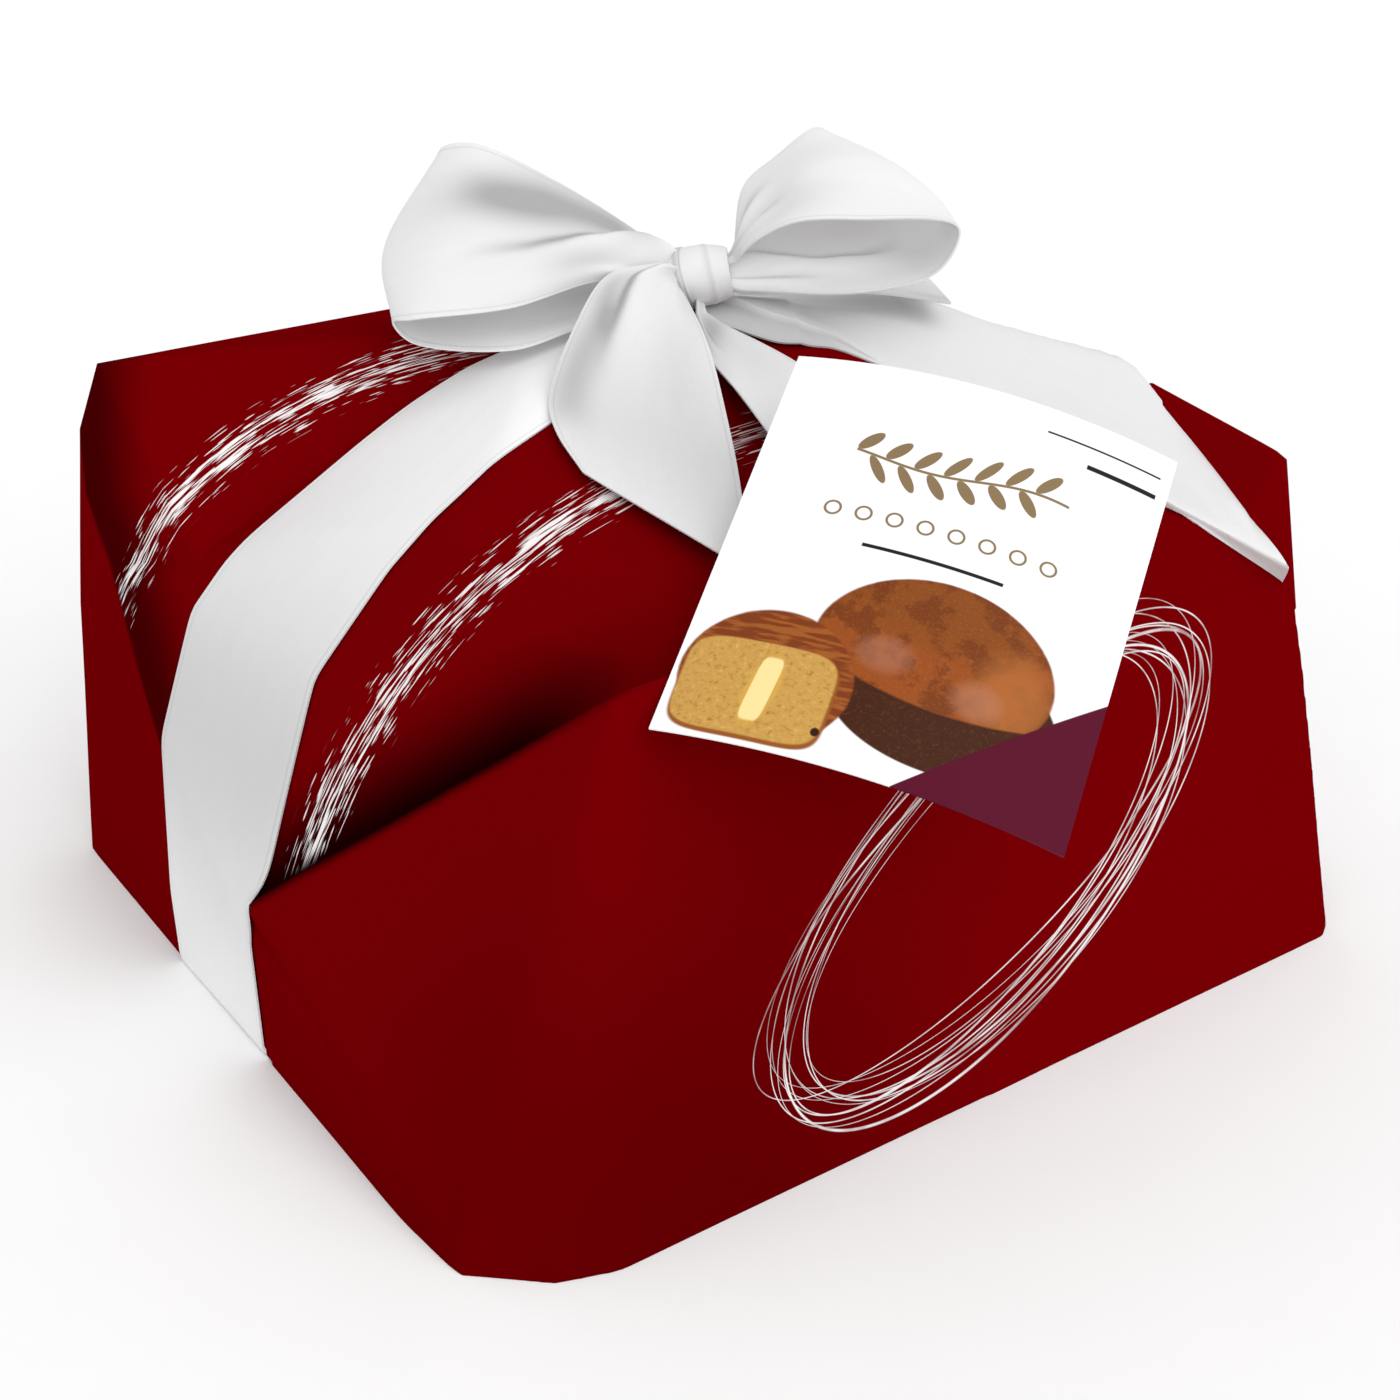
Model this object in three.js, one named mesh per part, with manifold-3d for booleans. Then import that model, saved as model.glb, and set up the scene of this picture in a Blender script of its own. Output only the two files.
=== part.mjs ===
// A gift-wrapped loaf of festive bread: a shut pack of folded paper, tied with a satin
// ribbon that ends in a bow, with a printed card hung from the bow.
// Units are millimetres and +Z is up. The pack's long side runs along X, its front faces -Y,
// and the origin is the middle of the whole object's outline, on the surface that it stands on.
import * as THREE from 'three';
import { ConvexGeometry } from 'three/addons/geometries/ConvexGeometry.js';
import { LoftGeometry } from 'three/addons/geometries/LoftGeometry.js';
import { mergeVertices } from 'three/addons/utils/BufferGeometryUtils.js';
import Module from 'manifold-3d';

const wasm = await Module();
wasm.setup();

// Driving dimensions
const PACK_LENGTH = 250;
const PACK_DEPTH = 226;
const PACK_HEIGHT = 150;
const PACK_CENTRE_Y = 17;
const RIBBON_THICKNESS = 0.8;
const CONTACT_GAP = 0.35;
const BASE_RECESS = 1.6;
const SKIN_RADIUS = 85;
const KNOT_RADIUS = 7;
const KNOT_LENGTH = 15;
const KNOT_FORWARD = 4;
const BOW_TURN = -35.3;
const CARD_WIDTH = 85;
const CARD_HEIGHT = 99;
const CARD_THICKNESS = 0.8;
const CARD_ARCH = 7;

// A point of the pack, given in hundredths of its half length, half depth and height
function corner(x, y, z) {
  return new THREE.Vector3(
    (x / 100) * (PACK_LENGTH / 2),
    (y / 100) * (PACK_DEPTH / 2),
    (z / 100) * PACK_HEIGHT
  );
}

// The corner that lies opposite, half a turn round the vertical axis
function opposite(point) {
  return new THREE.Vector3(-point.x, -point.y, point.z);
}

// Joining and cutting of closed meshes
function toSolid(geometry) {
  const bare = geometry.clone();
  bare.deleteAttribute('normal');
  bare.deleteAttribute('uv');
  const merged = mergeVertices(bare.index ? bare.toNonIndexed() : bare, 1e-3);
  return new wasm.Manifold(new wasm.Mesh({
    numProp: 3,
    vertProperties: new Float32Array(merged.attributes.position.array),
    triVerts: new Uint32Array(merged.index.array)
  }));
}

function toGeometry(solid) {
  const mesh = solid.getMesh();
  const geometry = new THREE.BufferGeometry();
  geometry.setAttribute('position', new THREE.BufferAttribute(mesh.vertProperties, 3));
  geometry.setIndex(new THREE.BufferAttribute(mesh.triVerts, 1));
  return geometry;
}

function block(points) {
  return toSolid(new ConvexGeometry(points));
}

// The folded paper pack
const nearLeft = [corner(-101, -65, 0), corner(-100, -83, 0), corner(-88, -95, 0), corner(-77.6, -99, 0)];
const nearRight = [corner(93.6, -100, 0), corner(98.4, -96.5, 0)];
const baseOutline = [...nearLeft, ...nearRight];
baseOutline.push(...baseOutline.map(opposite));

const wallFoot = corner(-100.4, 0, 24.5);
const wallMiddle = corner(-97.5, 45, 39.5);
const wallBend = corner(-96, 60, 51);
const wallNeck = corner(-93.3, 76.5, 61.5);
const earTip = corner(-88, 81.5, 93.5);
const earBack = corner(-92, 85, 82.5);
const backEdge = corner(-93.6, 95.5, 48.5);
const shoulderFold = corner(-60.5, -62, 68.5);

function hump() {
  const ribbonSeat = [
    corner(-85, 40, 60), corner(-72, 40, 72.5), corner(-55, 40, 79.5), corner(-36, 40, 87.3),
    corner(-83, -4.5, 62.5), corner(-66.5, -4.5, 76.5), corner(-57, -4.5, 82.5), corner(-47, -4.5, 87.3),
    corner(-25.5, 17.5, 95.5), corner(-9.5, 17.5, 99.5), corner(13.5, 17.5, 100), corner(24, 10.5, 99.5)
  ];
  const frontEdge = [corner(-32, -66.5, 74), corner(66.5, -66.5, 74), corner(88, -69, 70.5)];
  const rightEdge = [
    corner(99, -75.5, 54), corner(92, -33, 83.5), corner(94, -24, 86.5),
    corner(77.5, -13.5, 90.3), corner(64, 2.5, 94.5)
  ];
  const farSide = [
    opposite(shoulderFold), opposite(wallFoot), opposite(corner(-83, -4.5, 62.5)),
    corner(32, 78, 90), corner(-36, 77, 85), backEdge, wallNeck, wallBend, wallMiddle, wallFoot
  ];
  return block([...baseOutline, ...ribbonSeat, ...frontEdge, ...rightEdge, ...farSide, shoulderFold]);
}

function farShoulder() {
  return block([
    earTip, earBack, backEdge, wallNeck,
    corner(40, 78, 93), corner(54, 86, 60),
    corner(-83, 41, 60.5), corner(-55, 41, 79.3), corner(-36, 41, 87.3),
    corner(-8, 36, 98), corner(16, 31, 99),
    corner(-93.6, 100, 0), corner(-98.4, 96.5, 0), corner(32, 100, 0), corner(0, 20, 0)
  ]);
}

function frontPanel() {
  return block([
    ...nearLeft.slice(1), ...nearRight, corner(-80, 0, 0), corner(80, -50, 0),
    corner(-101, -2.5, 28.5), corner(-58.5, -68, 74.5), corner(-28, -67.5, 75), corner(66.5, -67, 74.8),
    corner(-90, 0, 20), corner(-53, -53, 65), corner(64, -53, 70)
  ]);
}

function nearEar() {
  return block([
    corner(99, -75.5, 53), corner(100, -66.5, 78), corner(99.6, -25, 82),
    corner(89, -68, 69.5), corner(90, -35, 82.5), corner(95, -72.5, 57),
    corner(102.2, -62, 38), corner(102.2, -26, 38), corner(90, -60, 36), corner(90, -26, 36)
  ]);
}

// The soft dent that the paper makes above the fold of the front panel
function foldDent() {
  return block([
    corner(-100, -6, 29.5), corner(-108, -8, 34), corner(-78, -36, 51), corner(-88, -42, 56),
    corner(-56, -58, 68), corner(-64, -70, 78), corner(-46, -58, 75), corner(-45, -66, 82),
    corner(-84.5, -5.5, 62), corner(-92, -6, 70), corner(-70, -20, 75), corner(-74, -24, 84)
  ]);
}

// The pack as large again by a small share, about a point well inside it
function grown(solid, share) {
  const middle = 0.4 * PACK_HEIGHT;
  return solid.translate([0, 0, -middle]).scale(1 + share).translate([0, 0, middle]);
}

// Upright prism over an outline seen from above, between two heights
function prism(outline, bottom, top) {
  const shape = new THREE.Shape(outline.map(([x, y]) => new THREE.Vector2(x, y)));
  const geometry = new THREE.ExtrudeGeometry(shape, { depth: top - bottom, bevelEnabled: false });
  geometry.translate(0, 0, bottom);
  return toSolid(geometry);
}

const bandUnder = [[-140, -5], [140, -75], [140, -25], [-140, 45]];
const bandLeft = [[-140, -5], [-60, -3], [4, 8], [26, 14], [22, 31], [-8, 33], [-50, 46], [-140, 45]];
const bandEnd = [[100, -75], [140, -75], [140, -25], [100, -25]];
const bandRight = [
  [10, 10, 150], [37, -4, 142.5], [46.5, -14, 138], [85, -73, 112], [106, -80.5, 97], [119, -83.5, 87.5],
  [116, -79.5, 97], [112.4, -75.5, 106], [113.8, -57, 116], [121, -31, 123.5],
  [118, -24, 128], [97, -9, 135], [80, 9, 143], [50, 24, 150], [24, 34, 151]
];

// Prism over an outline of points in space, along the way that a slanted face looks
function slantedPrism(points, facing, reach) {
  const ahead = facing.clone().normalize();
  const side = new THREE.Vector3(1, 0, 0);
  const up = new THREE.Vector3().crossVectors(ahead, side);
  const turn = new THREE.Matrix4().makeBasis(side, up, ahead);
  const flat = points.map(([x, y, z]) => new THREE.Vector3(x, y, z).applyMatrix4(turn.clone().transpose()));
  const shape = new THREE.Shape(flat.map((point) => new THREE.Vector2(point.x, point.y)));
  const depths = flat.map((point) => point.z);
  const near = Math.min(...depths) - reach;
  const depth = Math.max(...depths) + reach - near;
  const geometry = new THREE.ExtrudeGeometry(shape, { depth, bevelEnabled: false });
  geometry.translate(0, 0, near).applyMatrix4(turn);
  return toSolid(geometry);
}

function foldedBody() {
  return hump().add(farShoulder()).subtract(foldDent()).add(frontPanel()).add(nearEar());
}

// The body together with copies of it moved by the contact gap each way
function spaced(body) {
  const gap = CONTACT_GAP;
  const moves = [[gap, 0, 0], [-gap, 0, 0], [0, gap, 0], [0, -gap, 0], [0, 0, gap]];
  return moves.reduce((sum, move) => sum.add(body.translate(move)), body);
}

// The ribbon round the pack: a skin over the paper, cut to the ribbon's width
function bandSolid(body) {
  const outer = grown(body, (RIBBON_THICKNESS + CONTACT_GAP) / SKIN_RADIUS);
  const skin = outer.subtract(spaced(body));
  const left = skin.intersect(prism(bandLeft, CONTACT_GAP, 2 * PACK_HEIGHT));
  const facing = new THREE.Vector3(0, -0.72, 0.69);
  const seen = prism(bandRight.map(([x, y]) => [x + 1, y + 1]), 0.5 * PACK_HEIGHT, 2 * PACK_HEIGHT);
  const right = skin.intersect(slantedPrism(bandRight, facing, 8)).intersect(seen);
  const foot = skin.intersect(prism(bandEnd, CONTACT_GAP, 0.375 * PACK_HEIGHT));
  const under = outer.intersect(prism(bandUnder, CONTACT_GAP, CONTACT_GAP + RIBBON_THICKNESS));
  return left.add(right).add(foot).add(under);
}

// A flat length of ribbon, lofted through columns of points that run along it
function ribbon(columns, steps, thickness) {
  const curves = columns.map((points) => new THREE.CatmullRomCurve3(
    points.map(([x, y, z]) => new THREE.Vector3(x, y, z)), false, 'centripetal'
  ));
  const sections = [];
  for (let i = 0; i <= steps; i += 1) {
    const t = i / steps;
    const row = curves.map((curve) => curve.getPoint(t));
    const along = curves.reduce((sum, curve) => sum.add(curve.getTangent(t)), new THREE.Vector3());
    const across = row[row.length - 1].clone().sub(row[0]);
    const lift = new THREE.Vector3().crossVectors(along, across).normalize().multiplyScalar(thickness);
    const back = row.map((point) => point.clone().add(lift)).reverse();
    sections.push([...row, ...back]);
  }
  return new LoftGeometry(sections, { capStart: true, capEnd: true });
}

function leftLoop() {
  const top = [
    [-8.3, -3, 4.3], [-18.5, -1, 11], [-36.4, 0, 22], [-53.7, 2, 29.6], [-62.3, 6, 27.4], [-60.7, 13, 19.9],
    [-44.8, 15, 10], [-22.6, 8, 3], [-8.3, 0, 0.9]
  ];
  const middle = [
    [-8.2, -7, 1.8], [-23.1, -12, 8.8], [-39, -15, 13], [-58.9, -13, 13.9], [-76, -5, 5.8], [-66.5, 1, -1],
    [-43.2, 0, -5], [-22, 0, -4], [-8.3, -2, -3]
  ];
  const bottom = [
    [-8.2, -9, -1.8], [-23.7, -16, 1.7], [-44.2, -27, -1.5], [-67.5, -27, -4], [-73, -21, -7],
    [-69, -18, -13], [-44.6, -24.6, -12.8], [-30.4, -20.5, -9.2], [-8.3, -7, -5.2]
  ];
  return ribbon([top, middle, bottom], 28, RIBBON_THICKNESS);
}

function rightLoop() {
  const top = [
    [7.8, 1, 4.1], [10.1, 10, 17.3], [17.6, 15, 23], [27.9, 20, 29.1], [32, 23, 25],
    [31, 21, 13], [21.6, 13, 2.5], [8.4, 3, -2]
  ];
  const middle = [
    [8, -2, 3], [14.9, -1, 15.1], [25.4, 0, 24.4], [42.2, 4, 24.3], [57, 2, 15],
    [52.5, 4, 5], [32.9, 1, 1.2], [8.4, -3, -1.5]
  ];
  const bottom = [
    [8, -5, 3.2], [12.8, -11, 10], [21.5, -14, 14.9], [36.6, -14, 15.6], [60.5, -10, 12.8],
    [56.5, -9, 2], [39.7, -11, -2.7], [8.4, -8, -3]
  ];
  return ribbon([top, middle, bottom], 28, RIBBON_THICKNESS);
}

function frontTail() {
  const left = [
    [-10.1, -10, 4.4], [-22.1, -17, 3.3], [-29.4, -29.3, -5], [-34.9, -41.8, -17.5], [-33, -53, -21.5],
    [-26.4, -65.7, -26.5]
  ];
  const right = [
    [-5.8, -11, -0.9], [-3.2, -17, -3.5], [1.5, -32, -9], [5.9, -53, -20], [8.4, -71, -28], [10, -96, -37]
  ];
  return ribbon([left, right], 16, RIBBON_THICKNESS);
}

function sideTail() {
  const upper = [[0.8, -10.5, -7.7], [6.5, -15, -10], [13.3, -19.5, -12], [22.4, -25, -15.4], [34.8, -37.5, -20.7]];
  const lower = [[-0.4, -13, -7.7], [3.1, -27, -13], [8.5, -40.5, -16.6], [12.9, -51.5, -19.6], [21.4, -68, -26]];
  return ribbon([upper, lower], 12, RIBBON_THICKNESS);
}

// The cut end that shows from behind the right loop
function backTail() {
  const upper = [[9.5, 4, -6.2], [25, 12, -6], [42, 24, -9], [58.3, 30.2, -12]];
  const lower = [[9.5, -1, -6.2], [25, 1, -6.4], [44, 8, -9], [61.9, 9.3, -12]];
  return ribbon([upper, lower], 12, RIBBON_THICKNESS);
}

function knot() {
  const half = KNOT_LENGTH / 2;
  const profile = [
    [0, -half], [KNOT_RADIUS - 2, -half], [KNOT_RADIUS - 0.5, -half + 1.5], [KNOT_RADIUS, 0],
    [KNOT_RADIUS - 0.5, half - 1.5], [KNOT_RADIUS - 2, half], [0, half]
  ].map(([x, y]) => new THREE.Vector2(x, y));
  return new THREE.LatheGeometry(profile, 20).rotateZ(-Math.PI / 2).translate(0, -KNOT_FORWARD, 0);
}

// The printed card, gently arched across its width
function card() {
  const shape = new THREE.Shape();
  const columns = 10;
  const height = (x) => CARD_ARCH * (1 - (2 * x / CARD_WIDTH) ** 2);
  for (let i = 0; i <= columns; i += 1) {
    const x = CARD_WIDTH * (i / columns - 0.5);
    if (i === 0) shape.moveTo(x, height(x));
    else shape.lineTo(x, height(x));
  }
  for (let i = columns; i >= 0; i -= 1) {
    const x = CARD_WIDTH * (i / columns - 0.5);
    shape.lineTo(x, height(x) + CARD_THICKNESS);
  }
  const geometry = new THREE.ExtrudeGeometry(shape, { depth: CARD_HEIGHT, bevelEnabled: false });
  return geometry.translate(0, 0, -CARD_HEIGHT / 2);
}

function addMesh(parent, name, geometry, color, roughness) {
  const material = new THREE.MeshStandardMaterial({ color, roughness, metalness: 0 });
  const mesh = new THREE.Mesh(geometry, material);
  mesh.name = name;
  parent.add(mesh);
  return mesh;
}

const gift = new THREE.Group();
const wrapped = new THREE.Group();
wrapped.position.y = PACK_CENTRE_Y;
gift.add(wrapped);
const body = foldedBody();
const paper = body.subtract(prism(bandUnder, -1, BASE_RECESS));
addMesh(wrapped, 'paper_pack', toGeometry(paper), 0x76000a, 0.45);
addMesh(wrapped, 'ribbon_band', toGeometry(bandSolid(body)), 0xf0f0f0, 0.4);

const bow = new THREE.Group();
bow.position.set(17, 20, 159.3);
bow.rotation.z = THREE.MathUtils.degToRad(BOW_TURN);
wrapped.add(bow);
addMesh(bow, 'bow_knot', knot(), 0xe4e4e4, 0.4);
addMesh(bow, 'bow_loop_left', leftLoop(), 0xe4e4e4, 0.4);
addMesh(bow, 'bow_loop_right', rightLoop(), 0xe4e4e4, 0.4);
addMesh(bow, 'ribbon_tail_front', frontTail(), 0xe4e4e4, 0.4);
addMesh(bow, 'ribbon_tail_side', sideTail(), 0xe4e4e4, 0.4);
addMesh(bow, 'ribbon_tail_back', backTail(), 0xe4e4e4, 0.4);

const tag = addMesh(wrapped, 'card_tag', card(), 0xffffff, 0.5);
const tagRight = new THREE.Vector3(0.62, -0.76, -0.19).normalize();
const tagOut = new THREE.Vector3(-0.3, -0.45, 0.84);
const tagUp = new THREE.Vector3().crossVectors(tagOut, tagRight).normalize();
tagOut.crossVectors(tagRight, tagUp);
tag.position.set(-6.7, -92.4, 122.1);
tag.setRotationFromMatrix(new THREE.Matrix4().makeBasis(tagRight, tagOut, tagUp.clone().negate()));

export default gift;
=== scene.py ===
"""A shut pack of dark red paper, tied with a white satin ribbon and bow, with a printed card."""
import math
import random

import bpy
from mathutils import Matrix, Vector
from mathutils.bvhtree import BVHTree
from mathutils.geometry import intersect_point_line


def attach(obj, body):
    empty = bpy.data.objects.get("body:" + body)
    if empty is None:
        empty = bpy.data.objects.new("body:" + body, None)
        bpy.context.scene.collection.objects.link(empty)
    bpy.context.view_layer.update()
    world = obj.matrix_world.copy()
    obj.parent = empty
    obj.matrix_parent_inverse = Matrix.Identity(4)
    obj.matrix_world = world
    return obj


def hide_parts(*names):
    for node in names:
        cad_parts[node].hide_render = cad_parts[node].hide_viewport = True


bl_info = {
    "name": "Gift-wrapped festive loaf",
    "version": (1, 0, 0),
    "blender": (4, 5, 0),
    "location": "View3D > Sidebar > Gift",
    "description": "Builds a shut paper pack with a satin ribbon, a bow and a printed card",
    "category": "Add Mesh",
}

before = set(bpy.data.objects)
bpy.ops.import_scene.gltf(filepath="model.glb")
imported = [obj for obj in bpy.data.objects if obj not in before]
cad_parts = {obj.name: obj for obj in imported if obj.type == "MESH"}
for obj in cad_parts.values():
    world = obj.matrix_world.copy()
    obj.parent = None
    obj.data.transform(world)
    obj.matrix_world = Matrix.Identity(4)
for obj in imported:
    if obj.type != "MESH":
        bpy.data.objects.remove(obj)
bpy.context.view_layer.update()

MM = 0.001
# Places in the pack, in millimetres, and the ways that the bow and the card are turned
PACK_CENTRE = Vector((0.0, 17.0, 0.0))
KNOT_CENTRE = Vector((17.0, 20.0, 159.3))
BOW_TURN = math.radians(-35.3)
CARD_CENTRE = Vector((-6.7, -92.4, 122.1))
CARD_RIGHT = Vector((0.62, -0.76, -0.19)).normalized()
CARD_UP = Vector((-0.3, -0.45, 0.84)).cross(CARD_RIGHT).normalized()
CARD_OUT = CARD_RIGHT.cross(CARD_UP)

# The plane that the paper's stripes are printed in: two ways along it and the way out of it
PRINT_RIGHT = Vector((0.816, -0.578, 0.0)).normalized()
PRINT_UP = Vector((0.269, 0.380, 0.885)).normalized()
PRINT_OUT = PRINT_RIGHT.cross(PRINT_UP)

# In metres: how far a block reaches below the floor before it is cut off, how far above the floor
# it is cut, and how uneven the paper is
BELOW_FLOOR = -0.006
FLOOR_GAP = 0.0001
PAPER_WRINKLE = 0.00022
LOOSE_ROUNDS = 45
# The paper before its near ear is joined on, for laying the ribbon that passes under the ear
BARE_PAPER = {}


# Settings that a user would change

class PaperSettings(bpy.types.PropertyGroup):
    """Size and colour of the folded paper."""
    length: bpy.props.FloatProperty(
        name="Length", description="Length of the pack", default=0.25, unit="LENGTH")
    depth: bpy.props.FloatProperty(
        name="Depth", description="Depth of the pack", default=0.226, unit="LENGTH")
    height: bpy.props.FloatProperty(
        name="Height", description="Height of the paper pack", default=0.15, unit="LENGTH")
    voxel: bpy.props.FloatProperty(
        name="Mesh size", description="Side of a face of the paper", default=0.0018, unit="LENGTH")
    colour: bpy.props.FloatVectorProperty(
        name="Paper colour", description="Red of the paper", subtype="COLOR", size=4,
        default=(0.155, 0.0, 0.0012, 1.0))
    # Colour of the painted shade laid into the paper's folds and round the near foot
    shade: bpy.props.FloatVectorProperty(
        name="Fold colour", description="Deep red in the folds", subtype="COLOR", size=4,
        default=(0.010, 0.0, 0.0002, 1.0))
    print_colour: bpy.props.FloatVectorProperty(
        name="Print colour", description="White of the printed lines", subtype="COLOR", size=4,
        default=(0.85, 0.82, 0.82, 1.0))


class RibbonSettings(bpy.types.PropertyGroup):
    """Size and colour of the satin ribbon."""
    width: bpy.props.FloatProperty(
        name="Width", description="Width of the ribbon", default=0.05, unit="LENGTH")
    thickness: bpy.props.FloatProperty(
        name="Thickness", description="Thickness of the satin", default=0.0005, unit="LENGTH")
    gap: bpy.props.FloatProperty(
        name="Gap", description="Gap between the ribbon and the paper", default=0.0004, unit="LENGTH")
    colour: bpy.props.FloatVectorProperty(
        name="Satin colour", description="White of the satin", subtype="COLOR", size=4,
        default=(0.93, 0.93, 0.933, 1.0))
    # Colour of the painted shade laid into the satin's folds and hollows
    painted_shade_colour: bpy.props.FloatVectorProperty(
        name="Fold colour", description="Grey in the ribbon's folds", subtype="COLOR", size=4,
        default=(0.38, 0.38, 0.384, 1.0))


class CardSettings(bpy.types.PropertyGroup):
    """Size and colours of the printed card."""
    width: bpy.props.FloatProperty(
        name="Width", description="Width of the card", default=0.085, unit="LENGTH")
    height: bpy.props.FloatProperty(
        name="Height", description="Height of the card", default=0.099, unit="LENGTH")
    arch: bpy.props.FloatProperty(
        name="Arch", description="Rise of the card's middle", default=0.007, unit="LENGTH")
    thickness: bpy.props.FloatProperty(
        name="Thickness", description="Thickness of the card", default=0.0005, unit="LENGTH")
    colour: bpy.props.FloatVectorProperty(
        name="Card colour", description="White of the card", subtype="COLOR", size=4,
        default=(0.95, 0.95, 0.95, 1.0))
    gold: bpy.props.FloatVectorProperty(
        name="Gold", description="Gold of the printed ornament", subtype="COLOR", size=4,
        default=(0.245, 0.168, 0.086, 1.0))
    plum: bpy.props.FloatVectorProperty(
        name="Plum", description="Plum of the printed corner", subtype="COLOR", size=4,
        default=(0.092, 0.0, 0.016, 1.0))


class StageSettings(bpy.types.PropertyGroup):
    """Floor and lights."""
    floor_size: bpy.props.FloatProperty(
        name="Floor size", description="Side of the floor", default=8.0, unit="LENGTH")
    ambient: bpy.props.FloatProperty(
        name="Ambient", description="Strength of the light from all round", default=0.76)
    key: bpy.props.FloatProperty(
        name="Key", description="Strength of the broad light from above and in front", default=1.05)
    fill: bpy.props.FloatProperty(
        name="Fill", description="Strength of the low broad light from the front left", default=0.5)


# Modelling helpers

def row(point):
    """A point of the pack in millimetres, as metres in the frame."""
    return (Vector(point) + PACK_CENTRE) * MM


def corner(x, y, z):
    """A point given in hundredths of the pack's half length, half depth and height."""
    paper = bpy.context.scene.gift_paper
    return Vector((
        x / 100 * paper.length / 2,
        y / 100 * paper.depth / 2 + PACK_CENTRE.y * MM,
        z / 100 * paper.height,
    ))


def opposite(x, y, z):
    """The corner half a turn round the pack's upright axis."""
    return corner(-x, -y, z)


def only(piece):
    """Selects one object alone."""
    if bpy.context.mode != "OBJECT":
        bpy.ops.object.mode_set(mode="OBJECT")
    bpy.ops.object.select_all(action="DESELECT")
    piece.select_set(True)
    bpy.context.view_layer.objects.active = piece


def open_edit():
    """Opens the active mesh for editing, with all of it selected."""
    bpy.ops.object.mode_set(mode="EDIT")
    bpy.ops.mesh.select_all(action="SELECT")


def apply_all(piece):
    """Applies every modifier in order."""
    only(piece)
    for modifier in list(piece.modifiers):
        bpy.ops.object.modifier_apply(modifier=modifier.name)


def hull_block(name, points):
    """A folded block: a ring of corners is set in place and wrapped in its hull.

    Corners on the floor are repeated below it, so that the base can be cut off flat later.
    """
    floor = [Vector((p.x, p.y, BELOW_FLOOR)) for p in points if abs(p.z) < 1e-7]
    points = list(points) + floor
    bpy.ops.object.select_all(action="DESELECT")
    bpy.ops.mesh.primitive_circle_add(vertices=len(points), radius=0.1)
    block = bpy.context.object
    block.name = name
    for vertex, point in zip(block.data.vertices, points):
        vertex.co = point
    open_edit()
    bpy.ops.mesh.convex_hull()
    bpy.ops.mesh.normals_make_consistent(inside=False)
    bpy.ops.object.mode_set(mode="OBJECT")
    return block


def join_solid(piece, other, operation, solver="EXACT"):
    """Adds or cuts another closed mesh and removes it from the scene."""
    modifier = piece.modifiers.new("join", "BOOLEAN")
    modifier.operation = operation
    modifier.solver = solver
    modifier.object = other
    apply_all(piece)
    bpy.data.objects.remove(other)


def soften(piece, voxel, rounds, loose=None):
    """Even faces all over, with the folds rounded as paper rounds them.

    loose gives the share of a stronger smoothing at a place.
    """
    remesh = piece.modifiers.new("even", "REMESH")
    remesh.mode = "VOXEL"
    remesh.voxel_size = voxel
    apply_all(piece)
    if loose:
        group = piece.vertex_groups.new(name="loose")
        for vertex in piece.data.vertices:
            group.add([vertex.index], loose(vertex.co), "REPLACE")
        strong = piece.modifiers.new("loose", "SMOOTH")
        strong.factor = 0.5
        strong.iterations = LOOSE_ROUNDS
        strong.vertex_group = "loose"
    smooth = piece.modifiers.new("soft", "SMOOTH")
    smooth.factor = 0.5
    smooth.iterations = rounds
    apply_all(piece)


def cut_base(piece):
    """Cuts a piece off flat just above the floor."""
    only(piece)
    open_edit()
    bpy.ops.mesh.bisect(
        plane_co=(0, 0, FLOOR_GAP), plane_no=(0, 0, 1), use_fill=True, clear_inner=True)
    bpy.ops.object.mode_set(mode="OBJECT")


def smooth_shade(piece, angle):
    """Smooth shading, with an edge left sharp past the angle."""
    only(piece)
    bpy.ops.object.shade_smooth_by_angle(angle=math.radians(angle))


def settle(piece, node_names, material):
    """Gives a finished piece its material, its body and the nodes that it stands for."""
    piece.data.materials.clear()
    piece.data.materials.append(material)
    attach(piece, "root")
    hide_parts(*node_names)


def clamp(value):
    """A number kept between 0 and 1."""
    return min(max(value, 0.0), 1.0)


def bell(value, width):
    """A smooth hump, one at the middle and fading out on both sides."""
    return math.exp(-(value / width) ** 2)


def blend_points(points, t):
    """Centripetal Catmull-Rom curve through points, with t from 0 to 1."""
    spans = len(points) - 1
    place = clamp(t) * spans
    index = min(int(place), spans - 1)
    start, end = points[index], points[index + 1]
    before = points[index - 1] if index else 2 * start - end
    after = points[index + 2] if index < spans - 1 else 2 * end - start
    knots = [0.0]
    for first, second in ((before, start), (start, end), (end, after)):
        knots.append(knots[-1] + max((second - first).length, 1e-9) ** 0.5)
    at = knots[1] + (place - index) * (knots[2] - knots[1])
    layer = [before, start, end, after]
    for pairs in (((0, 1), (1, 2), (2, 3)), ((0, 2), (1, 3)), ((1, 2),)):
        layer = [
            layer[i] + (layer[i + 1] - layer[i]) * ((at - knots[low]) / (knots[high] - knots[low]))
            for i, (low, high) in enumerate(pairs)]
    return layer[0]


def even_points(points, count):
    """Points spaced evenly along a line of straight runs."""
    lengths = [0.0]
    for start, end in zip(points, points[1:]):
        lengths.append(lengths[-1] + (end - start).length)
    made = []
    run = 0
    for i in range(count):
        goal = lengths[-1] * i / (count - 1)
        while run < len(points) - 2 and lengths[run + 1] < goal:
            run += 1
        span = max(lengths[run + 1] - lengths[run], 1e-9)
        made.append(points[run].lerp(points[run + 1], (goal - lengths[run]) / span))
    return made


def lerp_row(first, second, count):
    """Evenly spaced points from one edge of a ribbon to the other."""
    return [first.lerp(second, i / (count - 1)) for i in range(count)]


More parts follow.
